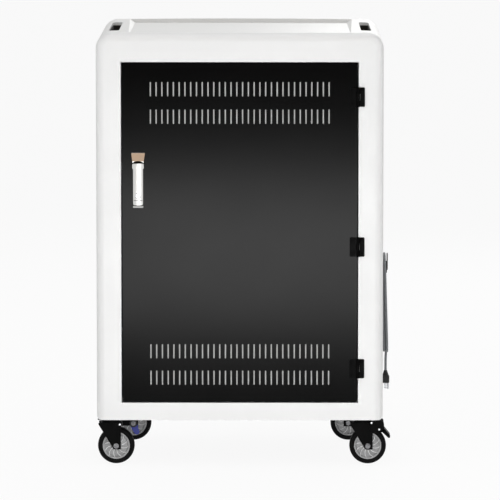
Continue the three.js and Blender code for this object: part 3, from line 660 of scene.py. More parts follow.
# Cord
def loop_point(turn):
    radius = CORD["fold"] + CORD["pitch"] * abs(turn - (CORD["turns"] / 2 - 0.25))
    step = min(max((turn - CORD["turns"] / 2 + 0.5) / 0.5, 0), 1)
    layer = step * step * (3 - 2 * step)
    phase = (turn + 1e-9) % 1
    quarter = int(phase * 4)
    share = phase * 4 - quarter
    low = CORD["z"] - CORD["run"]
    angle = -pi * share
    y, z = (
        (radius, CORD["z"] - CORD["run"] * share),
        (radius * cos(angle), low + radius * sin(angle)),
        (-radius, low + CORD["run"] * share),
        (-radius * cos(angle), CORD["z"] - radius * sin(angle)),
    )[quarter]
    return cord_point(CORD["wall"] + CORD["pitch"] * layer, y, z)


def cord_point(out, y, z):
    return (WALL + out + CORD["lean"] * (CORD["z"] - z), CORD["y"] + y, z)


def ease(share):
    share = min(max(share, 0), 1)
    return share * share * (3 - 2 * share)


def cord_route():
    steps = 48
    first = 10 / steps
    last = CORD["turns"] + 0.25
    start_y, start_z = loop_point(first)[1] - CORD["y"], loop_point(first)[2]
    route = []
    for k in range(20):
        z = GLAND["exit"] - GAP + (start_z - GLAND["exit"] + GAP) * k / 20
        inward = (GLAND["y"] - start_y) * ease((GLAND["exit"] - 12 - z) / (GLAND["exit"] - 12 - start_z))
        route.append(cord_point(CORD["wall"], GLAND["y"] - inward, z))
    for i in range(10, int(last * steps) + 1):
        route.append(loop_point(i / steps))
    x, y, z = route[-1]
    for k in range(1, 15):
        drop = (z - PLUG["top"] - GAP) * k / 14
        out = 0.5 * ease(drop / 15) - 2 * ease((drop - 20) / 45)
        route.append((x + out, y, z - drop))
    return [place(*point) for point in route]


class CART_OT_cord(bpy.types.Operator):
    """Power cord wound on its hook, with its plug and gland"""

    bl_idname = "cart.cord"
    bl_label = "Power cord"

    def execute(self, context):
        route = cord_route()
        begin()
        bpy.ops.curve.primitive_nurbs_path_add()
        piece = named("cord")
        spline = piece.data.splines.new("POLY")
        piece.data.splines.remove(piece.data.splines[0])
        spline.points.add(len(route) - 1)
        for point, where in zip(spline.points, route):
            point.co = (*where, 1)
        piece.location = (0, 0, 0)
        piece.data.bevel_depth = sizes().cord / 2
        piece.data.bevel_resolution = 4
        piece.data.use_fill_caps = True
        spline.use_smooth = True
        paint(piece, cable_sheath)
        settle(piece, "cabinet", "cable", "power_cord")

        end = route[-1]
        plug = self.plug((end.x - MIDDLE_X) / MM, (end.y - FRONT_Y) / MM)
        length = sum((second - first).length for first, second in zip(route, route[1:]))
        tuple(route[0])
        self.gland()
        self.hook()
        return {"FINISHED"}

    def plug(self, x, y):
        top, face = PLUG["top"], PLUG["face"]
        head = prism("plug_head", rounded(x - 10.5, x + 10.5, y - 13.5, y + 13.5, 5), "z", face, face + 20)
        soften(head, 2, 4)
        parts = [smooth(paint(head, black_plastic))]
        for k in range(5):
            low = face + 19 + k * 3.2
            radius = 9.6 - k * 1.1
            rib = rod("plug_rib", "z", (x, y), radius, low, low + 2.4, taper=radius - 0.6)
            parts.append(smooth(paint(soften(rib, 0.4, 2), black_plastic)))
        core = rod("plug_core", "z", (x, y), 7.6, face + 19, top, taper=4.4)
        parts.append(smooth(paint(core, black_plastic)))
        for offset in (-6.35, 6.35):
            low = (x - 3.2, y + offset - 0.75, face - 16)
            blade = block("plug_blade", low, (x + 3.2, y + offset + 0.75, face + 1))
            parts.append(smooth(paint(soften(blade, 0.4, 2), zinc_steel)))
        earth = rod("plug_earth", "z", (x + 7, y), 2.4, face - 18, face + 1, sides=24)
        parts.append(smooth(paint(soften(earth, 0.9, 3), zinc_steel)))
        return settle(join("plug", *parts), "cabinet", "black_plastic", "power_plug")

    def gland(self):
        x, y, z = cord_point(CORD["wall"], GLAND["y"], GLAND["exit"])
        centre = (y, GLAND["centre"])
        foot = rod("gland", "x", centre, 13, WALL, WALL + 4, sides=64)
        elbow = rod("gland_elbow", "x", centre, 9, WALL + 3, WALL + 15.5, sides=64)
        body = weld(soften(foot, 1.2, 3), soften(elbow, 3, 5))
        nozzle = rod("gland_nozzle", "z", (x, y), 4.6, z, GLAND["centre"], taper=7.4)
        parts = [smooth(paint(body, black_plastic)), smooth(paint(nozzle, black_plastic))]
        for k in range(4):
            low = z + 1.5 + k * 4.2
            rib = rod("gland_rib", "z", (x, y), 5.4 + k * 0.5, low, low + 2.4)
            parts.append(smooth(paint(soften(rib, 0.5, 2), black_plastic)))
        return settle(join("gland", *parts), "cabinet", "black_plastic", "cord_gland")

    def hook(self):
        y, z = CORD["y"], CORD["z"]
        radius = CORD["fold"] - 4.5
        reach = CORD["wall"] + CORD["pitch"] + 5.5
        foot = prism("hook", rounded(y - 20, y + 20, z - 20, z + 16, 6), "x", WALL, WALL + 2.5)
        peg = rod("hook_peg", "x", (y, z), radius, WALL + 2, WALL + reach + 1, sides=64)
        hollow = rod("hook_hollow", "x", (y, z), radius - 4, WALL + 4.5, WALL + reach + 6, sides=64)
        carve(peg, hollow)
        outline = rounded(y - 11, y + 11, z - 8, z + radius + 22, 6)
        tongue = prism("hook_tongue", outline, "x", WALL + reach, WALL + reach + 3)
        parts = [smooth(paint(soften(part, 0.9, 3), black_plastic)) for part in (foot, peg, tongue)]
        return settle(join("hook", *parts), "cabinet", "black_plastic", "cord_hook")


# Cabinet shell
def cushion(name, inset, top, low, front, back, round_front):
    """A box with round upper corners and one round end, which the frame and the cover start from."""
    edge = sizes().edge / MM - inset
    corner = sizes().corner / MM - inset
    piece = block(name, (-HALF + inset, front, low), (HALF - inset, back, top))
    high = place(0, 0, top).z
    bevel(piece, lambda e: along(e, 1) and both(e, 2, high), corner, 10)
    end = place(0, front if round_front else back, 0).y
    floor = place(0, 0, low).z
    bevel(piece, lambda e: both(e, 1, end) and not both(e, 2, floor), edge, 8)
    return piece


class CART_OT_front_frame(bpy.types.Operator):
    """White front frame with round outer edges and a turned-in lip"""

    bl_idname = "cart.front_frame"
    bl_label = "Front frame"

    def execute(self, context):
        wall = 2
        half = DOOR["half"] + DOOR["gap"]
        low = DOOR["bottom"] - DOOR["gap"]
        high = DOOR["top"] + DOOR["gap"]
        piece = cushion("front_surround", 0, RIM, BOTTOM - 60, 0, 46, True)
        feet = [(-HALF, BOTTOM, 10), (HALF, BOTTOM, 10), (HALF, RIM + 10, 0), (-HALF, RIM + 10, 0)]
        carve(piece, prism("frame_bounds", filleted(feet), "y", -5, 60), operation="INTERSECT")
        hollow = cushion("frame_hollow", wall, RIM - wall, BOTTOM - 60, wall, 60, True)
        bisect(hollow, (0, 0, BOTTOM + wall), (0, 0, -1))
        lip = block("frame_lip", (-half - wall, 0, low - wall), (half + wall, 21, high + wall))
        carve(hollow, lip)
        opening = block("frame_opening", (-half, -5, low), (half, 60, high))
        carve(piece, hollow, opening)
        soften(piece, 0.7, 2, 50)
        settle(smooth(paint(piece, white_paint)), "cabinet", "white_panel", "front_frame")
        return {"FINISHED"}


class CART_OT_side_panels(bpy.types.Operator):
    """White side panels with a round rear corner, and the base pan's finish"""

    bl_idname = "cart.side_panels"
    bl_label = "Side panels"

    def execute(self, context):
        front = 46 + GAP
        radius = 24
        rear = REAR["half"] + 4.5
        corners = [
            (HALF - 22, front, 0),
            (HALF, front, 1),
            (HALF, DEPTH, radius),
            (rear, DEPTH, 0),
            (rear, DEPTH - SHEET, 0),
            (HALF - SHEET, DEPTH - SHEET, radius - SHEET),
            (HALF - SHEET, front + SHEET, 0),
            (HALF - 22, front + SHEET, 0),
        ]
        right = filleted(corners, 12)
        left = [(-x, y) for x, y in right]
        for side, outline in (("right", right), ("left", left)):
            piece = prism(f"{side}_panel", outline, "z", BOTTOM, COVER["skirt"] - GAP)
            soften(piece, 0.5, 2, 60)
            settle(smooth(paint(piece, white_paint)), "cabinet", "white_panel", f"{side}_side_panel")
        refinish("base_pan", black_satin_and_painted_shade)
        return {"FINISHED"}


def stadium(side, grow, steps=16):
    middle = side * (HAND_SLOT["inner"] + HAND_SLOT["outer"]) / 2
    radius = (HAND_SLOT["outer"] - HAND_SLOT["inner"]) / 2
    outline = []
    for k in range(steps + 1):
        angle = pi + pi * k / steps
        y = HAND_SLOT["front"] + radius
        outline.append((middle + (radius + grow) * cos(angle), y + (radius + grow) * sin(angle)))
    for k in range(steps + 1):
        angle = pi * k / steps
        y = HAND_SLOT["back"] - radius
        outline.append((middle + (radius + grow) * cos(angle), y + (radius + grow) * sin(angle)))
    return outline


class CART_OT_top_cover(bpy.types.Operator):
    """Moulded white top with its tray, hand slots and grip cups"""

    bl_idname = "cart.top_cover"
    bl_label = "Top cover"

    def execute(self, context):
        wall = COVER["wall"]
        floor = COVER["floor"]
        ceiling = floor - wall
        high = RIM + 2 * REAR_RISE
        low = COVER["skirt"] - 50
        piece = cushion("moulded_top", 0, RIM, low, -46, DEPTH, False)
        self.raise_back(piece)
        bisect(piece, (0, 46 + GAP, 0), (0, -1, 0))
        bisect(piece, (0, 0, COVER["skirt"]), (0, 0, -1))
        hollow = cushion("cover_hollow", wall, ceiling, low, -46, DEPTH - wall, False)
        slope = COVER["slope"] * (high - floor) / REAR_RISE
        half = COVER["tray"]
        sides = [(-half, floor), (half, floor), (half + slope, high), (-half - slope, high)]
        tray = prism("cover_tray", sides, "y", 0, COVER["back"])
        slots = [prism("cover_slot", stadium(side, 0), "z", ceiling - 10, high) for side in (1, -1)]
        carve(piece, hollow, tray, *slots)
        soften(piece, 1.2, 3, 24)
        settle(smooth(paint(piece, white_moulding)), "cabinet", "white_moulding", "top_cover", "tray_panel")
        for side, name in ((1, "right"), (-1, "left")):
            self.cup(side, name, ceiling)
        return {"FINISHED"}

    def raise_back(self, piece):
        """The rim climbs from the front of the cover to its back and is a little higher in the middle."""
        pick(piece, "FACE", lambda face: True)
        bpy.ops.mesh.subdivide(number_cuts=7)
        begin(piece)
        for vertex in piece.data.vertices:
            x = (vertex.co.x - MIDDLE_X) / MM
            y = (vertex.co.y - FRONT_Y) / MM
            z = vertex.co.z / MM
            share = min((y - 46) / (DEPTH - 24 - 46), 1)
            height = min(max((z - COVER["skirt"]) / (RIM - 42 - COVER["skirt"]), 0), 1)
            crown = 1 - COVER["crown"] * (x / HALF) ** 2
            vertex.co.z += REAR_RISE * share * height * crown * MM

    def cup(self, side, name, ceiling):
        top = COVER["floor"] - 1
        bottom = ceiling - 28
        piece = prism(f"{name}_cup", stadium(side, -GAP), "z", bottom, top)
        level = place(0, 0, top).z
        pick(piece, "FACE", lambda face: all(abs(v.co.z - level) < 1e-5 for v in face.verts))
        bpy.ops.mesh.inset(thickness=2 * MM)
        drop = (0, 0, (bottom + 2 - top) * MM)
        bpy.ops.mesh.extrude_region_move(TRANSFORM_OT_translate={"value": drop})
        begin(piece)
        soften(piece, 0.8, 3, 50)
        settle(smooth(paint(piece, black_plastic)), "cabinet", "black_plastic", f"{name}_grip_cup")


# Doors
def slot_cutters(vent, start, end):
    """All vent slots as one tool: one slot with round ends, copied along its rows."""
    width, height = vent["width"], vent["height"]
    outline = rounded(-width / 2, width / 2, -height / 2, height / 2, width / 2.02, 5)
    first = prism("vent_slot", outline, "y", start, end)
    tools = []
    for z in vent["rows"]:
        for i in range(vent["count"]):
            x = (i - (vent["count"] - 1) / 2) * vent["pitch"]
            tools.append(copy(first, "vent_slot", (x, 0, z)))
    bpy.data.objects.remove(first)
    return join("vent_slots", *tools)


def door_pan(name, half, bottom, top, front, back, open_back):
    """A pan with turned edges: a box whose open side is inset and pushed in to a sheet."""
    piece = block(name, (-half, front, bottom), (half, back, top))
    level = place(0, back if open_back else front, 0).y
    pick(piece, "FACE", lambda face: all(abs(v.co.y - level) < 1e-5 for v in face.verts))
    bpy.ops.mesh.inset(thickness=SHEET * MM)
    push = (back - front - SHEET) * MM
    move = (0, -push if open_back else push, 0)
    bpy.ops.mesh.extrude_region_move(TRANSFORM_OT_translate={"value": move})
    begin(piece)
    return piece


class CART_OT_front_door(bpy.types.Operator):
    """Black vented front door with the filters behind its slots"""

    bl_idname = "cart.front_door"
    bl_label = "Front door"

    def execute(self, context):
        piece = door_pan("vented_door", DOOR["half"], DOOR["bottom"], DOOR["top"], 0, DOOR["depth"], True)
        soften(piece, 0.6, 2, 50)
        bore = rod("door_bore", "y", (LOCK["x"], LOCK["z"]), 9.2, -5, 30)
        carve(piece, slot_cutters(VENT, -5, 10), bore)
        settle(smooth(paint(piece, black_gloss)), "front_door", "black_panel", "front_door")
        refinish("upper_vent_filter", filter_cloth)
        refinish("lower_vent_filter", filter_cloth)
        return {"FINISHED"}


class CART_OT_hinges(bpy.types.Operator):
    """Black butt hinges with their knuckles, pins and screws"""

    bl_idname = "cart.hinges"
    bl_label = "Hinges"

    def execute(self, context):
        half = HINGE["height"] / 2
        third = HINGE["height"] / 3
        frame_parts = [(-half, -half + third - 0.25), (half - third + 0.25, half)]
        door_parts = [(-half + third + 0.25, half - third - 0.25)]
        leaves = {
            "frame_leaf": (self.leaf(frame_parts, 1, 18), "cabinet"),
            "door_leaf": (self.leaf(door_parts, -1, 22), "front_door"),
        }
        for level, z in zip(("top", "middle", "bottom"), HINGE["at"]):
            for kind, (model, body) in leaves.items():
                twin = copy(model, f"{level}_{kind}", (0, 0, z))
                settle(twin, body, "black_metal", f"{level}_hinge_{kind}")
        for model, _ in leaves.values():
            bpy.data.objects.remove(model)
        return {"FINISHED"}

    def leaf(self, knuckles, side, reach):
        x, y = HINGE["x"], HINGE["y"]
        half = HINGE["height"] / 2
        clear = HINGE["radius"] + 0.7
        inner, outer = sorted((x + side * clear, x + side * reach))
        plate = block("hinge_leaf", (inner, -GAP - 3, -half), (outer, -GAP, half))
        rim = place(x + side * reach, 0, 0).x
        bevel(plate, lambda e: along(e, 1) and both(e, 0, rim), 3, 5)
        for low, high in knuckles:
            near, far = sorted((x, x + side * (clear + 1)))
            weld(plate, block("hinge_web", (near, -GAP - 3, low), (far, -GAP, high)))
            weld(plate, rod("hinge_knuckle", "z", (x, y), HINGE["radius"], low, high))
        soften(plate, 0.4, 2, 35)
        parts = [smooth(paint(plate, black_satin_and_painted_shade))]
        if side > 0:
            pin = rod("hinge_pin", "z", (x, y), 2.4, -half - 1, half + 1, sides=32)
            parts.append(smooth(paint(soften(pin, 0.6, 3), black_satin_and_painted_shade)))
        middle = x + side * (reach - 6)
        for z in (-half + 9, half - 9):
            screw = rod("hinge_screw", "y", (middle, z), 3.2, -GAP - 3.5, -GAP - 2, sides=32)
            soften(screw, 0.5, 3)
            upright = block("screw_slot", (middle - 0.4, -6, z - 2), (middle + 0.4, -GAP - 3, z + 2))
            level = block("screw_slot", (middle - 2, -6, z - 0.4), (middle + 2, -GAP - 3, z + 0.4))
            carve(screw, upright, level)
            parts.append(smooth(paint(screw, black_satin_and_painted_shade)))
        return join("hinge_leaf", *parts)


# Lock
class CART_OT_swing_handle(bpy.types.Operator):
    """Chrome swing handle: base, spindle with its cam, lever and key plug"""

    bl_idname = "cart.swing_handle"
    bl_label = "Swing handle"

    def execute(self, context):
        self.base()
        self.spindle()
        self.lever()
        self.key_plug()
        return {"FINISHED"}

    def base(self):
        x, z, top, bottom = LOCK["x"], LOCK["z"], LOCK["top"], LOCK["bottom"]
        sill = LEVER["bottom"] - 1.2
        ledge = LEVER["top"] + 1.5
        corners = [
            (x - 13.5, bottom, 3),
            (x + 13.5, bottom, 3),
            (x + 14.5, bottom + 8, 4),
            (x + 14.5, ledge, 12),
            (x + 18.5, top, 2),
            (x - 18.5, top, 2),
            (x - 14.5, ledge, 12),
            (x - 14.5, bottom + 8, 4),
        ]
        profile = [
            (-GAP, bottom, 0),
            (-GAP, top, 0),
            (-8, top, 2),
            (-18, ledge + 5, 1.5),
            (-18, ledge, 0),
            (-6.5, ledge, 0),
            (-6.5, sill, 0),
            (-15, sill, 0),
            (-13, bottom, 2),
        ]
        piece = prism("handle_plate", filleted(corners), "y", -25, -GAP)
        carve(piece, prism("handle_side", filleted(profile), "x", x - 30, x + 30), operation="INTERSECT")
        nest = rod("handle_nest", "y", (x, z), LOCK["nest"], -30, -6.5, sides=128)
        carve(piece, nest, rod("handle_bore", "y", (x, z), 9.2, -20, 5))
        soften(piece, 0.7, 3, 35)
        # Painted shade: the chrome recess floor behind the lever takes the black finish, so the gaps around
        # the lever read dark.
        line(smooth(paint(piece, satin_chrome)), black_satin_and_painted_shade, lambda at: abs(at.y + 6.5) < 0.01)
        settle(piece, "front_door", "satin_chrome", "handle_base")

    def spindle(self):
        x, z, pivot = LOCK["x"], LOCK["z"], LOCK["pivot"]
        shaft = rod("spindle", "y", (x, z), 8.6, -6.8, 24, sides=64)
        lug = prism("spindle_lug", rounded(pivot - 4.5, -4, z - 4.5, z + 4.5, 4.4), "x", x - 4, x + 4)
        cam = prism("spindle_cam", rounded(x - 55, x + 11, z - 10, z + 10, 6), "y", 22.5, 25.5)
        pin = rod("spindle_pin", "x", (pivot, z), 1.8, x - 11, x + 11, sides=24)
        nut = rod("spindle_nut", "y", (x, z), 8, 25, 30, sides=6)
        parts = [smooth(paint(soften(part, 0.5, 2), dark_zinc)) for part in (shaft, lug, cam, pin, nut)]
        settle(join("spindle", *parts), "lock_spindle", "bare_steel", "lock_spindle")

    def lever(self):
        x, z, pivot = LOCK["x"], LOCK["z"], LOCK["pivot"]
        front, back, top, bottom = LEVER["front"], LEVER["back"], LEVER["top"], LEVER["bottom"] + 1.8
        half, shoulder = LEVER["half"], LEVER["shoulder"]
        corners = [
            (x - half, bottom, 4),
            (x + half, bottom, 4),
            (x + half, z, 2),
            (x + shoulder, z + 3, 2),
            (x + shoulder, top, 3),
            (x - shoulder, top, 3),
            (x - shoulder, z + 3, 2),
            (x - half, z, 2),
        ]
        bulge = LEVER["bulge"]
        spread = asin(shoulder / bulge)
        section = [(x + shoulder, back), (x - shoulder, back)]
        for k in range(33):
            angle = spread * (k / 16 - 1)
            section.append((x + bulge * sin(angle), front + bulge * (1 - cos(angle))))
        piece = prism("lever", filleted(corners), "y", front, back)
        carve(piece, prism("lever_section", section, "z", bottom - 5, top + 5), operation="INTERSECT")
        relief = block("lever_relief", (x - 25, pivot, z - 6), (x + 25, 5, z + 30))
        well = block("lever_well", (x - 4.4, front + 1.4, z - 7.5), (x + 4.4, 5, z + 7.5))
        bearing = rod("lever_bearing", "x", (pivot, z), 2.2, x - 11.4, x + 11.4, sides=24)
        plug, ring = LOCK["plug"], 7.8
        bore = rod("lever_bore", "y", (x, plug), ring, front - 5, front + 10)
        seam = block("lever_seam", (x - 25, front - 5, plug - 13.7), (x + 25, front + 2.4, plug - 12.3))
        carve(piece, relief, well, bearing, bore, seam)
        soften(piece, 0.2, 2, 35)

        def shaded(at):
            in_bore = (at.x - x) ** 2 + (at.z - plug) ** 2 < (ring + 0.1) ** 2 and at.y > front + 0.4
            return in_bore or -13.8 < at.z - plug < -12.2 and at.y > front + 0.4 and at.y < front + 2.5

        line(smooth(paint(piece, satin_chrome)), black_satin_and_painted_shade, shaded)
        settle(piece, "lock_lever", "satin_chrome", "lock_lever")

    def key_plug(self):
        x, z, front = LOCK["x"], LOCK["plug"], LEVER["front"]
        piece = rod("key_cylinder", "y", (x, z), 6.9, front - 0.8, front + 9.6)
        soften(piece, 0.6, 3)
        carve(piece, block("keyway", (x - 0.8, front - 5, z - 4), (x + 0.8, front + 3, z + 4)))
        settle(smooth(paint(piece, zinc_steel)), "key_plug", "bare_steel", "key_plug")


class CART_OT_rear_door(bpy.types.Operator):
    """Black rear door with its slots, quarter-turn lock and pivots"""

    bl_idname = "cart.rear_door"
    bl_label = "Rear door"

    def execute(self, context):
        front = DEPTH - REAR["depth"]
        piece = door_pan("back_door", REAR["half"], REAR["bottom"], REAR["top"], front, DEPTH, False)
        soften(piece, 0.6, 2, 50)
        x, z = -REAR["half"] + 28, 640
        pins = rod("back_pins", "z", (REAR["pivot"], DEPTH - 8), 4, REAR["bottom"] - 5, REAR["top"] + 5)
        bore = rod("back_bore", "y", (x, z), 9.2, DEPTH - 10, DEPTH + 5)
        carve(piece, slot_cutters(REAR_VENT, DEPTH - 8, DEPTH + 5), pins, bore)
        settle(smooth(paint(piece, black_gloss)), "rear_door", "black_panel", "rear_door")

        head = rod("back_lock", "y", (x, z), 12, DEPTH + GAP, DEPTH + 3.5, sides=64)
        soften(head, 0.9, 4)
        carve(head, block("keyway", (x - 0.8, DEPTH + 1, z - 4), (x + 0.8, DEPTH + 8, z + 4)))
        rear = front - 8
        barrel = rod("lock_barrel", "y", (x, z), 8.8, rear, DEPTH + 1)
        cam = prism("lock_cam", rounded(x - 44, x + 11, z - 9, z + 9, 5), "y", rear, rear + 3)
        soften(cam, 0.5, 2)
        parts = [paint(head, satin_chrome), paint(barrel, zinc_steel), paint(cam, zinc_steel)]
        lock = join("back_lock", *[smooth(part) for part in parts])
        settle(lock, "rear_lock", "satin_chrome", "rear_lock")
        refinish("upper_rear_pivot", zinc_steel)
        refinish("lower_rear_pivot", zinc_steel)
        return {"FINISHED"}


# Casters: every part is modelled about its swivel axis and copied to its place; plates, rims and tyres are
# modelled once for all four
def caster_plate():
    plate = prism("caster_plate", rounded(-36, 36, -47, 47, 5), "z", BOTTOM - 3.3, BOTTOM - GAP)
    soften(plate, 0.6, 2)
    parts = [smooth(paint(plate, black_satin_and_painted_shade))]
    for low, high, radius in ((113.2, 118.4, 27.5), (118, 119.4, 25.5), (119, BOTTOM - 3, 29)):
        cup = rod("race_cup", "z", (0, 0), radius, low, high, sides=72)
        parts.append(smooth(paint(soften(cup, 1.1, 4), black_satin_and_painted_shade)))
    for u in (-27, 27):
        for v in (-38, 38):
            bolt = rod("plate_bolt", "z", (u, v), 5.2, BOTTOM - 5.6, BOTTOM - 3, sides=6)
            parts.append(smooth(paint(soften(bolt, 0.5, 2), dark_zinc)))
    pin = rod("king_pin", "z", (0, 0), 5.8, 103, 114)
    rivet = rod("king_rivet", "z", (0, 0), 9, 102.4, 104.6)
    parts += [smooth(paint(soften(part, 0.5, 2), zinc_steel)) for part in (pin, rivet)]
    return join("caster_plate", *parts)


def caster_fork(brake):
    leg = filleted(
        [
            (-35, 112.8, 1),
            (-35, 109, 3),
            (TRAIL - 10.5, AXLE - 3, 8),
            (TRAIL - 7, AXLE - 9.5, 5),
            (TRAIL + 13, AXLE - 9.5, 2.5),
            (TRAIL + 13, 112.8, 1),
        ],
        10,
    )
    piece = prism("caster_fork", rounded(-29, 29, -22.5, 22.5, 12), "z", 105, 112.8)
    weld(piece, prism("fork_leg", leg, "y", 19, 22.5), prism("fork_leg", leg, "y", -22.5, -19))
    king_bore = rod("king_bore", "z", (0, 0), 6.6, 90, 130)
    carve(piece, king_bore, rod("axle_bore", "y", (TRAIL, AXLE), 5.6, -40, 40))
    soften(piece, 0.9, 3, 35)
    parts = [smooth(paint(piece, black_satin_and_painted_shade))]
    if brake == "pedal":
        for start, end in ((20, 27), (-27, -20)):
            pin = rod("brake_pin", "y", (TRAIL + 7, 96), 3, start, end, sides=32)
            parts.append(smooth(paint(soften(pin, 0.5, 2), black_satin_and_painted_shade)))
    else:
        for start, end in ((22, 23.3), (-23.3, -22)):
            rivet = rod("fork_rivet", "y", (TRAIL + 10.5, 109), 2.7, start, end, sides=32)
            parts.append(smooth(paint(soften(rivet, 0.4, 3), zinc_steel)))
    if brake == "lever":
        outline = rounded(TRAIL - 36, TRAIL - 8.5, AXLE - 8, AXLE + 16, 4)
        housing = prism("brake_housing", outline, "y", -24.5, -19.5)
        parts.append(smooth(paint(soften(housing, 1.2, 3), black_satin_and_painted_shade)))
    return join("caster_fork", *parts)


def caster_axle(brake):
    centre = (TRAIL, AXLE)
    bolt = rod("axle_bolt", "y", centre, 5, -33 if brake == "lever" else -24, 26, sides=32)
    washer = rod("axle_washer", "y", centre, 7.4, -23.8, -22.9)
    parts = [(bolt, 0.4), (washer, 0.3)]
    heads = [(-26.5, -23.6), (22.9, 27.5)] + ([(-35, -32)] if brake == "lever" else [])
    for start, end in heads:
        parts.append((rod("axle_head", "y", centre, 7.4, start, end, sides=6), 0.6))
    return join("axle", *[smooth(paint(soften(part, width, 2), dark_zinc)) for part, width in parts])


def wheel_rim():
    profile = [
        (5.5, -17.5),
        (10, -17.5),
        (11, -16.5),
        (12, -11),
        (15, -7),
        (30, -5),
        (32.4, -7),
        (33, -13.4),
        (33.6, -14),
        (36.6, -14),
        (37, -13.6),
    ]
    ring = spun("wheel_rim", profile + [(r, -y) for r, y in reversed(profile)], TRAIL, AXLE)
    parts = [smooth(paint(ring, rim_plastic), 30)]
    steps = 12
    for i in range(12):
        left, right = [], []
        for k in range(steps + 1):
            radius = 10 + 23.5 * k / steps
            angle = 2 * pi * i / 12 + 0.1 + 0.35 * (k / steps) ** 2
            for side, points in ((-0.9, left), (0.9, right)):
                turn = angle + side / radius
                points.append((TRAIL + radius * cos(turn), AXLE + radius * sin(turn)))
        rib = prism("rim_rib", left + right[::-1], "y", -12.5, 12.5)
        # The ribs take the lighter finish, a painted highlight on their crests.
        parts.append(smooth(paint(soften(rib, 0.5, 2, 50), rib_painted_highlight)))
    return join("wheel_rim", *parts)


def wheel_tyre():
    radius = sizes().wheel / MM
    profile = [
        (37.3, -14.5),
        (42.4, -15.6),
        (43, -15.1),
        (43.6, -15.7),
        (radius - 4, -15.4),
        (radius - 2.2, -14),
        (radius - 0.9, -11.6),
        (radius - 0.2, -8.6),
        (radius, -5),
    ]
    tyre = spun("tyre", profile + [(r, -y) for r, y in reversed(profile)], TRAIL, AXLE, 96)
    return smooth(paint(tyre, tyre_rubber), 50)


def brake_pedal():
    arm = filleted(
        [
            (TRAIL + 1, 90, 3),
            (TRAIL + 38, 88, 4),
            (TRAIL + 46, 92, 3),
            (TRAIL + 43, 120, 7),
            (TRAIL + 10, 122, 6),
        ]
    )
    pad = filleted(
        [
            (TRAIL + 36.5, 91, 2),
            (TRAIL + 41, 99, 3),
            (TRAIL + 47, 96.5, 3),
            (TRAIL + 61, 79, 3),
            (TRAIL + 60.5, 73, 2.5),
            (TRAIL + 56, 72.5, 2.5),
        ]
    )
    parts = []
    for start, end in ((23.1, 25.7), (-25.7, -23.1)):
        plate = prism("pedal_arm", arm, "y", start, end)
        carve(plate, rod("pedal_bore", "y", (TRAIL + 7, 96), 3.4, -40, 40))
        parts.append(smooth(paint(soften(plate, 0.6, 2), black_satin_and_painted_shade)))
        head = 26.2 if start > 0 else -26.2
        for u, v in ((TRAIL + 10, 114), (TRAIL + 31, 96)):
            rivet = rod("pedal_rivet", "y", (u, v), 2.7, min(head, start), max(head, end), sides=32)
            parts.append(smooth(paint(soften(rivet, 0.4, 3), zinc_steel)))
    tread = prism("pedal_pad", pad, "y", -25.7, 25.7)
    parts.append(smooth(paint(soften(tread, 1.4, 4), black_satin_and_painted_shade)))
    return join("brake_pedal", *parts)


def brake_lever():
    blade = []
    for k in range(25):
        angle = pi * (0.2 + k / 24)
        blade.append((TRAIL + 11 * cos(angle), AXLE + 11 * sin(angle)))
    for k in range(25):
        angle = pi * (1.2 + k / 24)
        blade.append((TRAIL + 9 + 8 * cos(angle), AXLE - 24 + 8 * sin(angle)))
    piece = prism("brake_lever", blade, "y", -31.6, -26.9)
    carve(piece, rod("lever_bore", "y", (TRAIL, AXLE), 5.6, -40, 0))
    grip = rod("lever_grip", "y", (TRAIL + 9, AXLE - 24), 4.4, -35, -31.2)
    carve(piece, grip)
    blade = smooth(paint(soften(piece, 1.2, 4, 35), blue_plastic))
    boss = rod("lever_boss", "y", (TRAIL, AXLE), 11.3, -31.9, -27.5, sides=64)
    carve(boss, rod("boss_bore", "y", (TRAIL, AXLE), 5.6, -40, 0))
    return join("brake_lever", blade, smooth(paint(soften(boss, 0.5, 3), black_plastic)))


class CART_OT_casters(bpy.types.Operator):
    """Swivel casters: plates, forks, axles, ribbed wheels, tyres, a brake pedal and a brake lever"""

    bl_idname = "cart.casters"
    bl_label = "Casters"

    def execute(self, context):
        shared = {
            "caster_plate": (caster_plate(), "cabinet", "bare_steel"),
            "wheel_rim": (wheel_rim(), "wheel", "wheel_rim"),
            "tyre": (wheel_tyre(), "wheel", "wheel_tyre"),
        }
        for name, (x, y, turn, brake) in CASTERS.items():
            own = {
                "caster_fork": (caster_fork(brake), "swivel", "black_metal"),
                "caster_axle": (caster_axle(brake), "swivel", "bare_steel"),
            }
            if brake == "pedal":
                own["brake_pedal"] = (brake_pedal(), "brake", "black_metal")
            if brake == "lever":
                own["brake_lever"] = (brake_lever(), "brake", "blue_plastic")
            for kind, (model, body, slot) in {**shared, **own}.items():
                twin = copy(model, f"{name}_{kind}_detail", (x, y, 0), turn)
                rides = body if body == "cabinet" else f"{name}_{body}"
                settle(twin, rides, slot, f"{name}_{kind}")
            for model, _, _ in own.values():
                bpy.data.objects.remove(model)
        for model, _, _ in shared.values():
            bpy.data.objects.remove(model)
        return {"FINISHED"}


# Inside
class CART_OT_bays(bpy.types.Operator):
    """Finishes of the shelves, divider racks and partition"""

    bl_idname = "cart.bays"
    bl_label = "Laptop bays"

    def execute(self, context):
        for level in ("lower", "upper"):
            refinish(f"{level}_shelf", white_paint)
            refinish(f"{level}_divider_rack", black_plastic)
        refinish("charger_partition", white_paint)
        return {"FINISHED"}


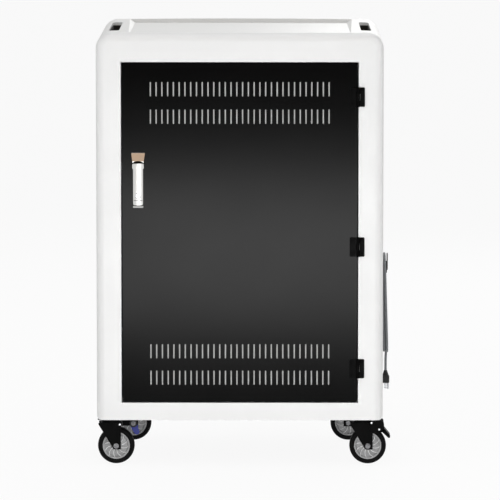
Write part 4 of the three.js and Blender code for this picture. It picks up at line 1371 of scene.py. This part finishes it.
class CART_OT_power(bpy.types.Operator):
    """Power strips with their outlets, and the timer unit with its rocker switch"""

    bl_idname = "cart.power"
    bl_label = "Power strips and timer"

    def execute(self, context):
        outlet = self.outlet()
        for level, z in STRIPS.items():
            self.strip(level, z, outlet)
        bpy.data.objects.remove(outlet)
        self.timer()
        self.rocker()
        return {"FINISHED"}

    def outlet(self):
        """One socket face about X = 0 and Z = 0, with two blade slots and an earth hole."""
        back = 403.8 + 42
        piece = prism("outlet", rounded(-13.2, 13.2, -13.2, 13.2, 4), "y", back - 3.2, back - 0.6)
        soften(piece, 0.6, 3)
        slots = [block("outlet_slot", (u - 0.9, back - 2.6, -1), (u + 0.9, back + 5, 6)) for u in (-5, 5)]
        carve(piece, *slots, rod("outlet_earth", "y", (0, -6), 2.4, back - 2.6, back + 5, sides=24))
        return smooth(paint(piece, grey_plastic))

    def strip(self, level, z, outlet):
        front = 403.8
        back = front + 42
        body = prism("strip", rounded(front, back, z - 24, z + 24, 4), "x", -290, 290)
        parts = []
        for i in range(12):
            x = (i - 5.5) * 46
            carve(body, block("strip_well", (x - 13.5, back - 3, z - 13.5), (x + 13.5, back + 5, z + 13.5)))
            parts.append(copy(outlet, "outlet", (x, 0, z)))
        soften(body, 0.6, 2, 50)
        strip = join(f"{level}_strip", smooth(paint(body, black_plastic)), *parts)
        settle(strip, "cabinet", "black_plastic", f"{level}_power_strip")

    def timer(self):
        front = 403.8
        back = front + 70
        body = prism("timer", rounded(60, 250, 760, 880, 8), "y", front, back)
        soften(body, 1.6, 3)
        well = block("timer_well", (203.4, back - 15, 804), (226.6, back + 5, 836))
        bearing = rod("timer_bearing", "x", (back - 6, 820), 1.9, 200, 230, sides=24)
        window = block("timer_window", (84, back - 1.5, 820), (164, back + 5, 856))
        carve(body, well, bearing, window)
        parts = [smooth(paint(body, grey_plastic))]
        glass = prism("timer_glass", rounded(84.3, 163.7, 820.3, 855.7, 2), "y", back - 1.5, back - 0.3)
        parts.append(smooth(paint(soften(glass, 0.4, 2), display_glass)))
        for i in range(4):
            button = rod("timer_button", "y", (92 + i * 21, 796), 6, back - 1, back + 0.9)
            parts.append(smooth(paint(soften(button, 0.6, 3), black_plastic)))
        settle(join("timer", *parts), "cabinet", "grey_plastic", "timer_unit")

    def rocker(self):
        y, z, x = 403.8 + 64, 820, 215
        profile = filleted(
            [
                (y - 3, z - 13.5, 0),
                (y + 9, z - 13.5, 1.5),
                (y + 5, z, 30),
                (y + 6, z + 13.5, 1.5),
                (y - 3, z + 13.5, 0),
            ]
        )
        body = prism("rocker", profile, "x", x - 11, x + 11)
        pin = rod("rocker_pin", "x", (y, z), 1.5, x - 14, x + 14, sides=24)
        parts = [smooth(paint(soften(part, 0.4, 2), black_plastic)) for part in (body, pin)]
        settle(join("rocker", *parts), "rocker_switch", "black_plastic", "rocker_switch")


# Stage
class CART_OT_stage(bpy.types.Operator):
    """Camera, pale floor and soft studio light"""

    bl_idname = "cart.stage"
    bl_label = "Stage"

    def execute(self, context):
        scene = context.scene
        scene.view_settings.view_transform = "Standard"
        self.camera(scene)
        self.floor()
        self.world(scene)
        middle = (0, 0, 0.6)
        self.lamp("band", (0, FRONT_Y - 2.5, 0.32), (0, FRONT_Y, 0.32), (1.2, 0.5), 24.5)
        self.lamp("left", (-3.4, -1.8, 2.8), middle, (2.5, 2.5), 27)
        self.lamp("right", (3.4, -1.8, 2.8), middle, (2.5, 2.5), 27)
        self.lamp("front", (0, -5, 4), middle, (3, 3), 27, mirrored=False)
        self.lamp("top", (0, 0.4, 4.2), middle, (3, 3), 32)
        self.lamp("back", (1.5, 4.5, 3), middle, (3, 3), 50)
        head = place(LOCK["x"], 0, LOCK["top"])
        self.board("tan", (-0.28, -2.3, 2.75), head, (2.8, 2.8), (0.39, 0.22, 0.1), glow=1.0)
        black = (0.002, 0.002, 0.002)
        ahead = FRONT_Y - 2.6
        self.board("high", (-0.03, ahead, 1.2), (-0.03, FRONT_Y, 1.2), (1.6, 1.1), black)
        self.board("low", (-0.03, ahead, 0.003), (-0.03, ahead, 1), (1.6, 3.4), black)
        return {"FINISHED"}

    def camera(self, scene):
        stage = scene.cart_stage
        begin()
        bpy.ops.object.camera_add(
            location=place(74, -stage.distance / MM, stage.height / MM),
            rotation=(pi / 2 - stage.pitch, 0, stage.yaw),
        )
        camera = named("camera")
        camera.data.sensor_width = 36
        camera.data.lens = 308.64
        camera.data.clip_end = 200
        scene.camera = camera

    def floor(self):
        begin()
        bpy.ops.mesh.primitive_plane_add(size=90, location=(0, 0, 0))
        floor = named("floor")
        material = bpy.data.materials.new("pale_floor")
        material.use_nodes = True
        nodes = material.node_tree.nodes
        links = material.node_tree.links
        matt = nodes["Principled BSDF"]
        matt.inputs["Base Color"].default_value = (0.9, 0.9, 0.9, 1)
        matt.inputs["Roughness"].default_value = 0.9
        glow = nodes.new("ShaderNodeEmission")
        mix = nodes.new("ShaderNodeMixShader")
        links.new(self.seen(nodes, links, 0.92), mix.inputs["Fac"])
        links.new(matt.outputs["BSDF"], mix.inputs[1])
        links.new(glow.outputs["Emission"], mix.inputs[2])
        links.new(mix.outputs["Shader"], nodes["Material Output"].inputs["Surface"])
        floor.data.materials.append(material)
        floor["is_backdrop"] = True

    def seen(self, nodes, links, share):
        """Share where the camera, a reflection or clear material looks, and 0 for light on the object."""
        path = nodes.new("ShaderNodeLightPath")
        rays = nodes.new("ShaderNodeMath")
        rays.operation = "MAXIMUM"
        links.new(path.outputs["Is Camera Ray"], rays.inputs[0])
        links.new(path.outputs["Is Glossy Ray"], rays.inputs[1])
        clear = nodes.new("ShaderNodeMath")
        clear.operation = "MAXIMUM"
        links.new(rays.outputs["Value"], clear.inputs[0])
        links.new(path.outputs["Is Transmission Ray"], clear.inputs[1])
        part = nodes.new("ShaderNodeMath")
        part.operation = "MULTIPLY"
        part.inputs[1].default_value = share
        links.new(clear.outputs["Value"], part.inputs[0])
        return part.outputs["Value"]

    def world(self, scene):
        world = bpy.data.worlds.new("studio")
        world.use_nodes = True
        scene.world = world
        nodes = world.node_tree.nodes
        links = world.node_tree.links
        light = nodes["Background"]
        light.inputs["Color"].default_value = (1, 1, 1, 1)
        light.inputs["Strength"].default_value = 0.3
        shown = nodes.new("ShaderNodeBackground")
        shown.inputs["Strength"].default_value = 1.0
        mix = nodes.new("ShaderNodeMixShader")
        links.new(self.seen(nodes, links, 1.0), mix.inputs["Fac"])
        links.new(light.outputs["Background"], mix.inputs[1])
        links.new(shown.outputs["Background"], mix.inputs[2])
        links.new(mix.outputs["Shader"], nodes["World Output"].inputs["Surface"])

    def lamp(self, name, where, target, size, power, mirrored=True):
        begin()
        aim = (Vector(target) - Vector(where)).to_track_quat("-Z", "Y").to_euler()
        bpy.ops.object.light_add(type="AREA", location=where, rotation=aim)
        lamp = named(f"{name}_light")
        lamp.data.shape = "RECTANGLE"
        lamp.data.size, lamp.data.size_y = size
        lamp.data.energy = power
        lamp.visible_camera = False
        lamp.visible_glossy = mirrored

    def board(self, name, where, target, size, colour, glow=0.0):
        """A board outside the picture, which only gloss and bare metal mirror."""
        begin()
        aim = (Vector(target) - Vector(where)).to_track_quat("-Z", "Y").to_euler()
        bpy.ops.mesh.primitive_plane_add(size=1, location=where, rotation=aim)
        board = named(f"{name}_board")
        board.scale = (*size, 1)
        material = bpy.data.materials.new(f"{name}_board")
        material.use_nodes = True
        surface = material.node_tree.nodes["Principled BSDF"]
        surface.inputs["Base Color"].default_value = (*colour, 1)
        surface.inputs["Roughness"].default_value = 0.8
        surface.inputs["Emission Color"].default_value = (*colour, 1)
        surface.inputs["Emission Strength"].default_value = glow
        board.data.materials.append(material)
        board.visible_camera = False
        board.visible_diffuse = False
        board.visible_shadow = False
        board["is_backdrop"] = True


class CART_PT_panel(bpy.types.Panel):
    """Lists the cart's pieces"""

    bl_label = "Charging cart"
    bl_idname = "CART_PT_panel"
    bl_space_type = "VIEW_3D"
    bl_region_type = "UI"
    bl_category = "Cart"

    def draw(self, context):
        layout = self.layout
        for group in (context.scene.cart_sizes, context.scene.cart_colours, context.scene.cart_stage):
            for name in group.bl_rna.properties.keys():
                if name not in ("rna_type", "name"):
                    layout.prop(group, name)
        for operator in OPERATORS:
            layout.operator(operator.bl_idname)


GROUPS = {"cart_sizes": CartSizes, "cart_colours": CartColours, "cart_stage": CartStage}
OPERATORS = (
    CART_OT_stage,
    CART_OT_cord,
    CART_OT_front_frame,
    CART_OT_side_panels,
    CART_OT_top_cover,
    CART_OT_front_door,
    CART_OT_hinges,
    CART_OT_swing_handle,
    CART_OT_rear_door,
    CART_OT_casters,
    CART_OT_bays,
    CART_OT_power,
)


def register():
    for name, group in GROUPS.items():
        bpy.utils.register_class(group)
        setattr(bpy.types.Scene, name, PointerProperty(type=group))
    for operator in OPERATORS:
        bpy.utils.register_class(operator)
    bpy.utils.register_class(CART_PT_panel)


def unregister():
    bpy.utils.unregister_class(CART_PT_panel)
    for operator in reversed(OPERATORS):
        bpy.utils.unregister_class(operator)
    for name, group in GROUPS.items():
        delattr(bpy.types.Scene, name)
        bpy.utils.unregister_class(group)


def main():
    register()
    bpy.ops.cart.stage()
    bpy.ops.cart.cord()
    bpy.ops.cart.front_frame()
    bpy.ops.cart.side_panels()
    bpy.ops.cart.top_cover()
    bpy.ops.cart.front_door()
    bpy.ops.cart.hinges()
    bpy.ops.cart.swing_handle()
    bpy.ops.cart.rear_door()
    bpy.ops.cart.casters()
    bpy.ops.cart.bays()
    bpy.ops.cart.power()
    boxes = {"cad": CAD_BOX, "visual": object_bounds()}
    lists = {name: [list(map(float, corner)) for corner in box] for name, box in boxes.items()}


if __name__ == "__main__":
    main()
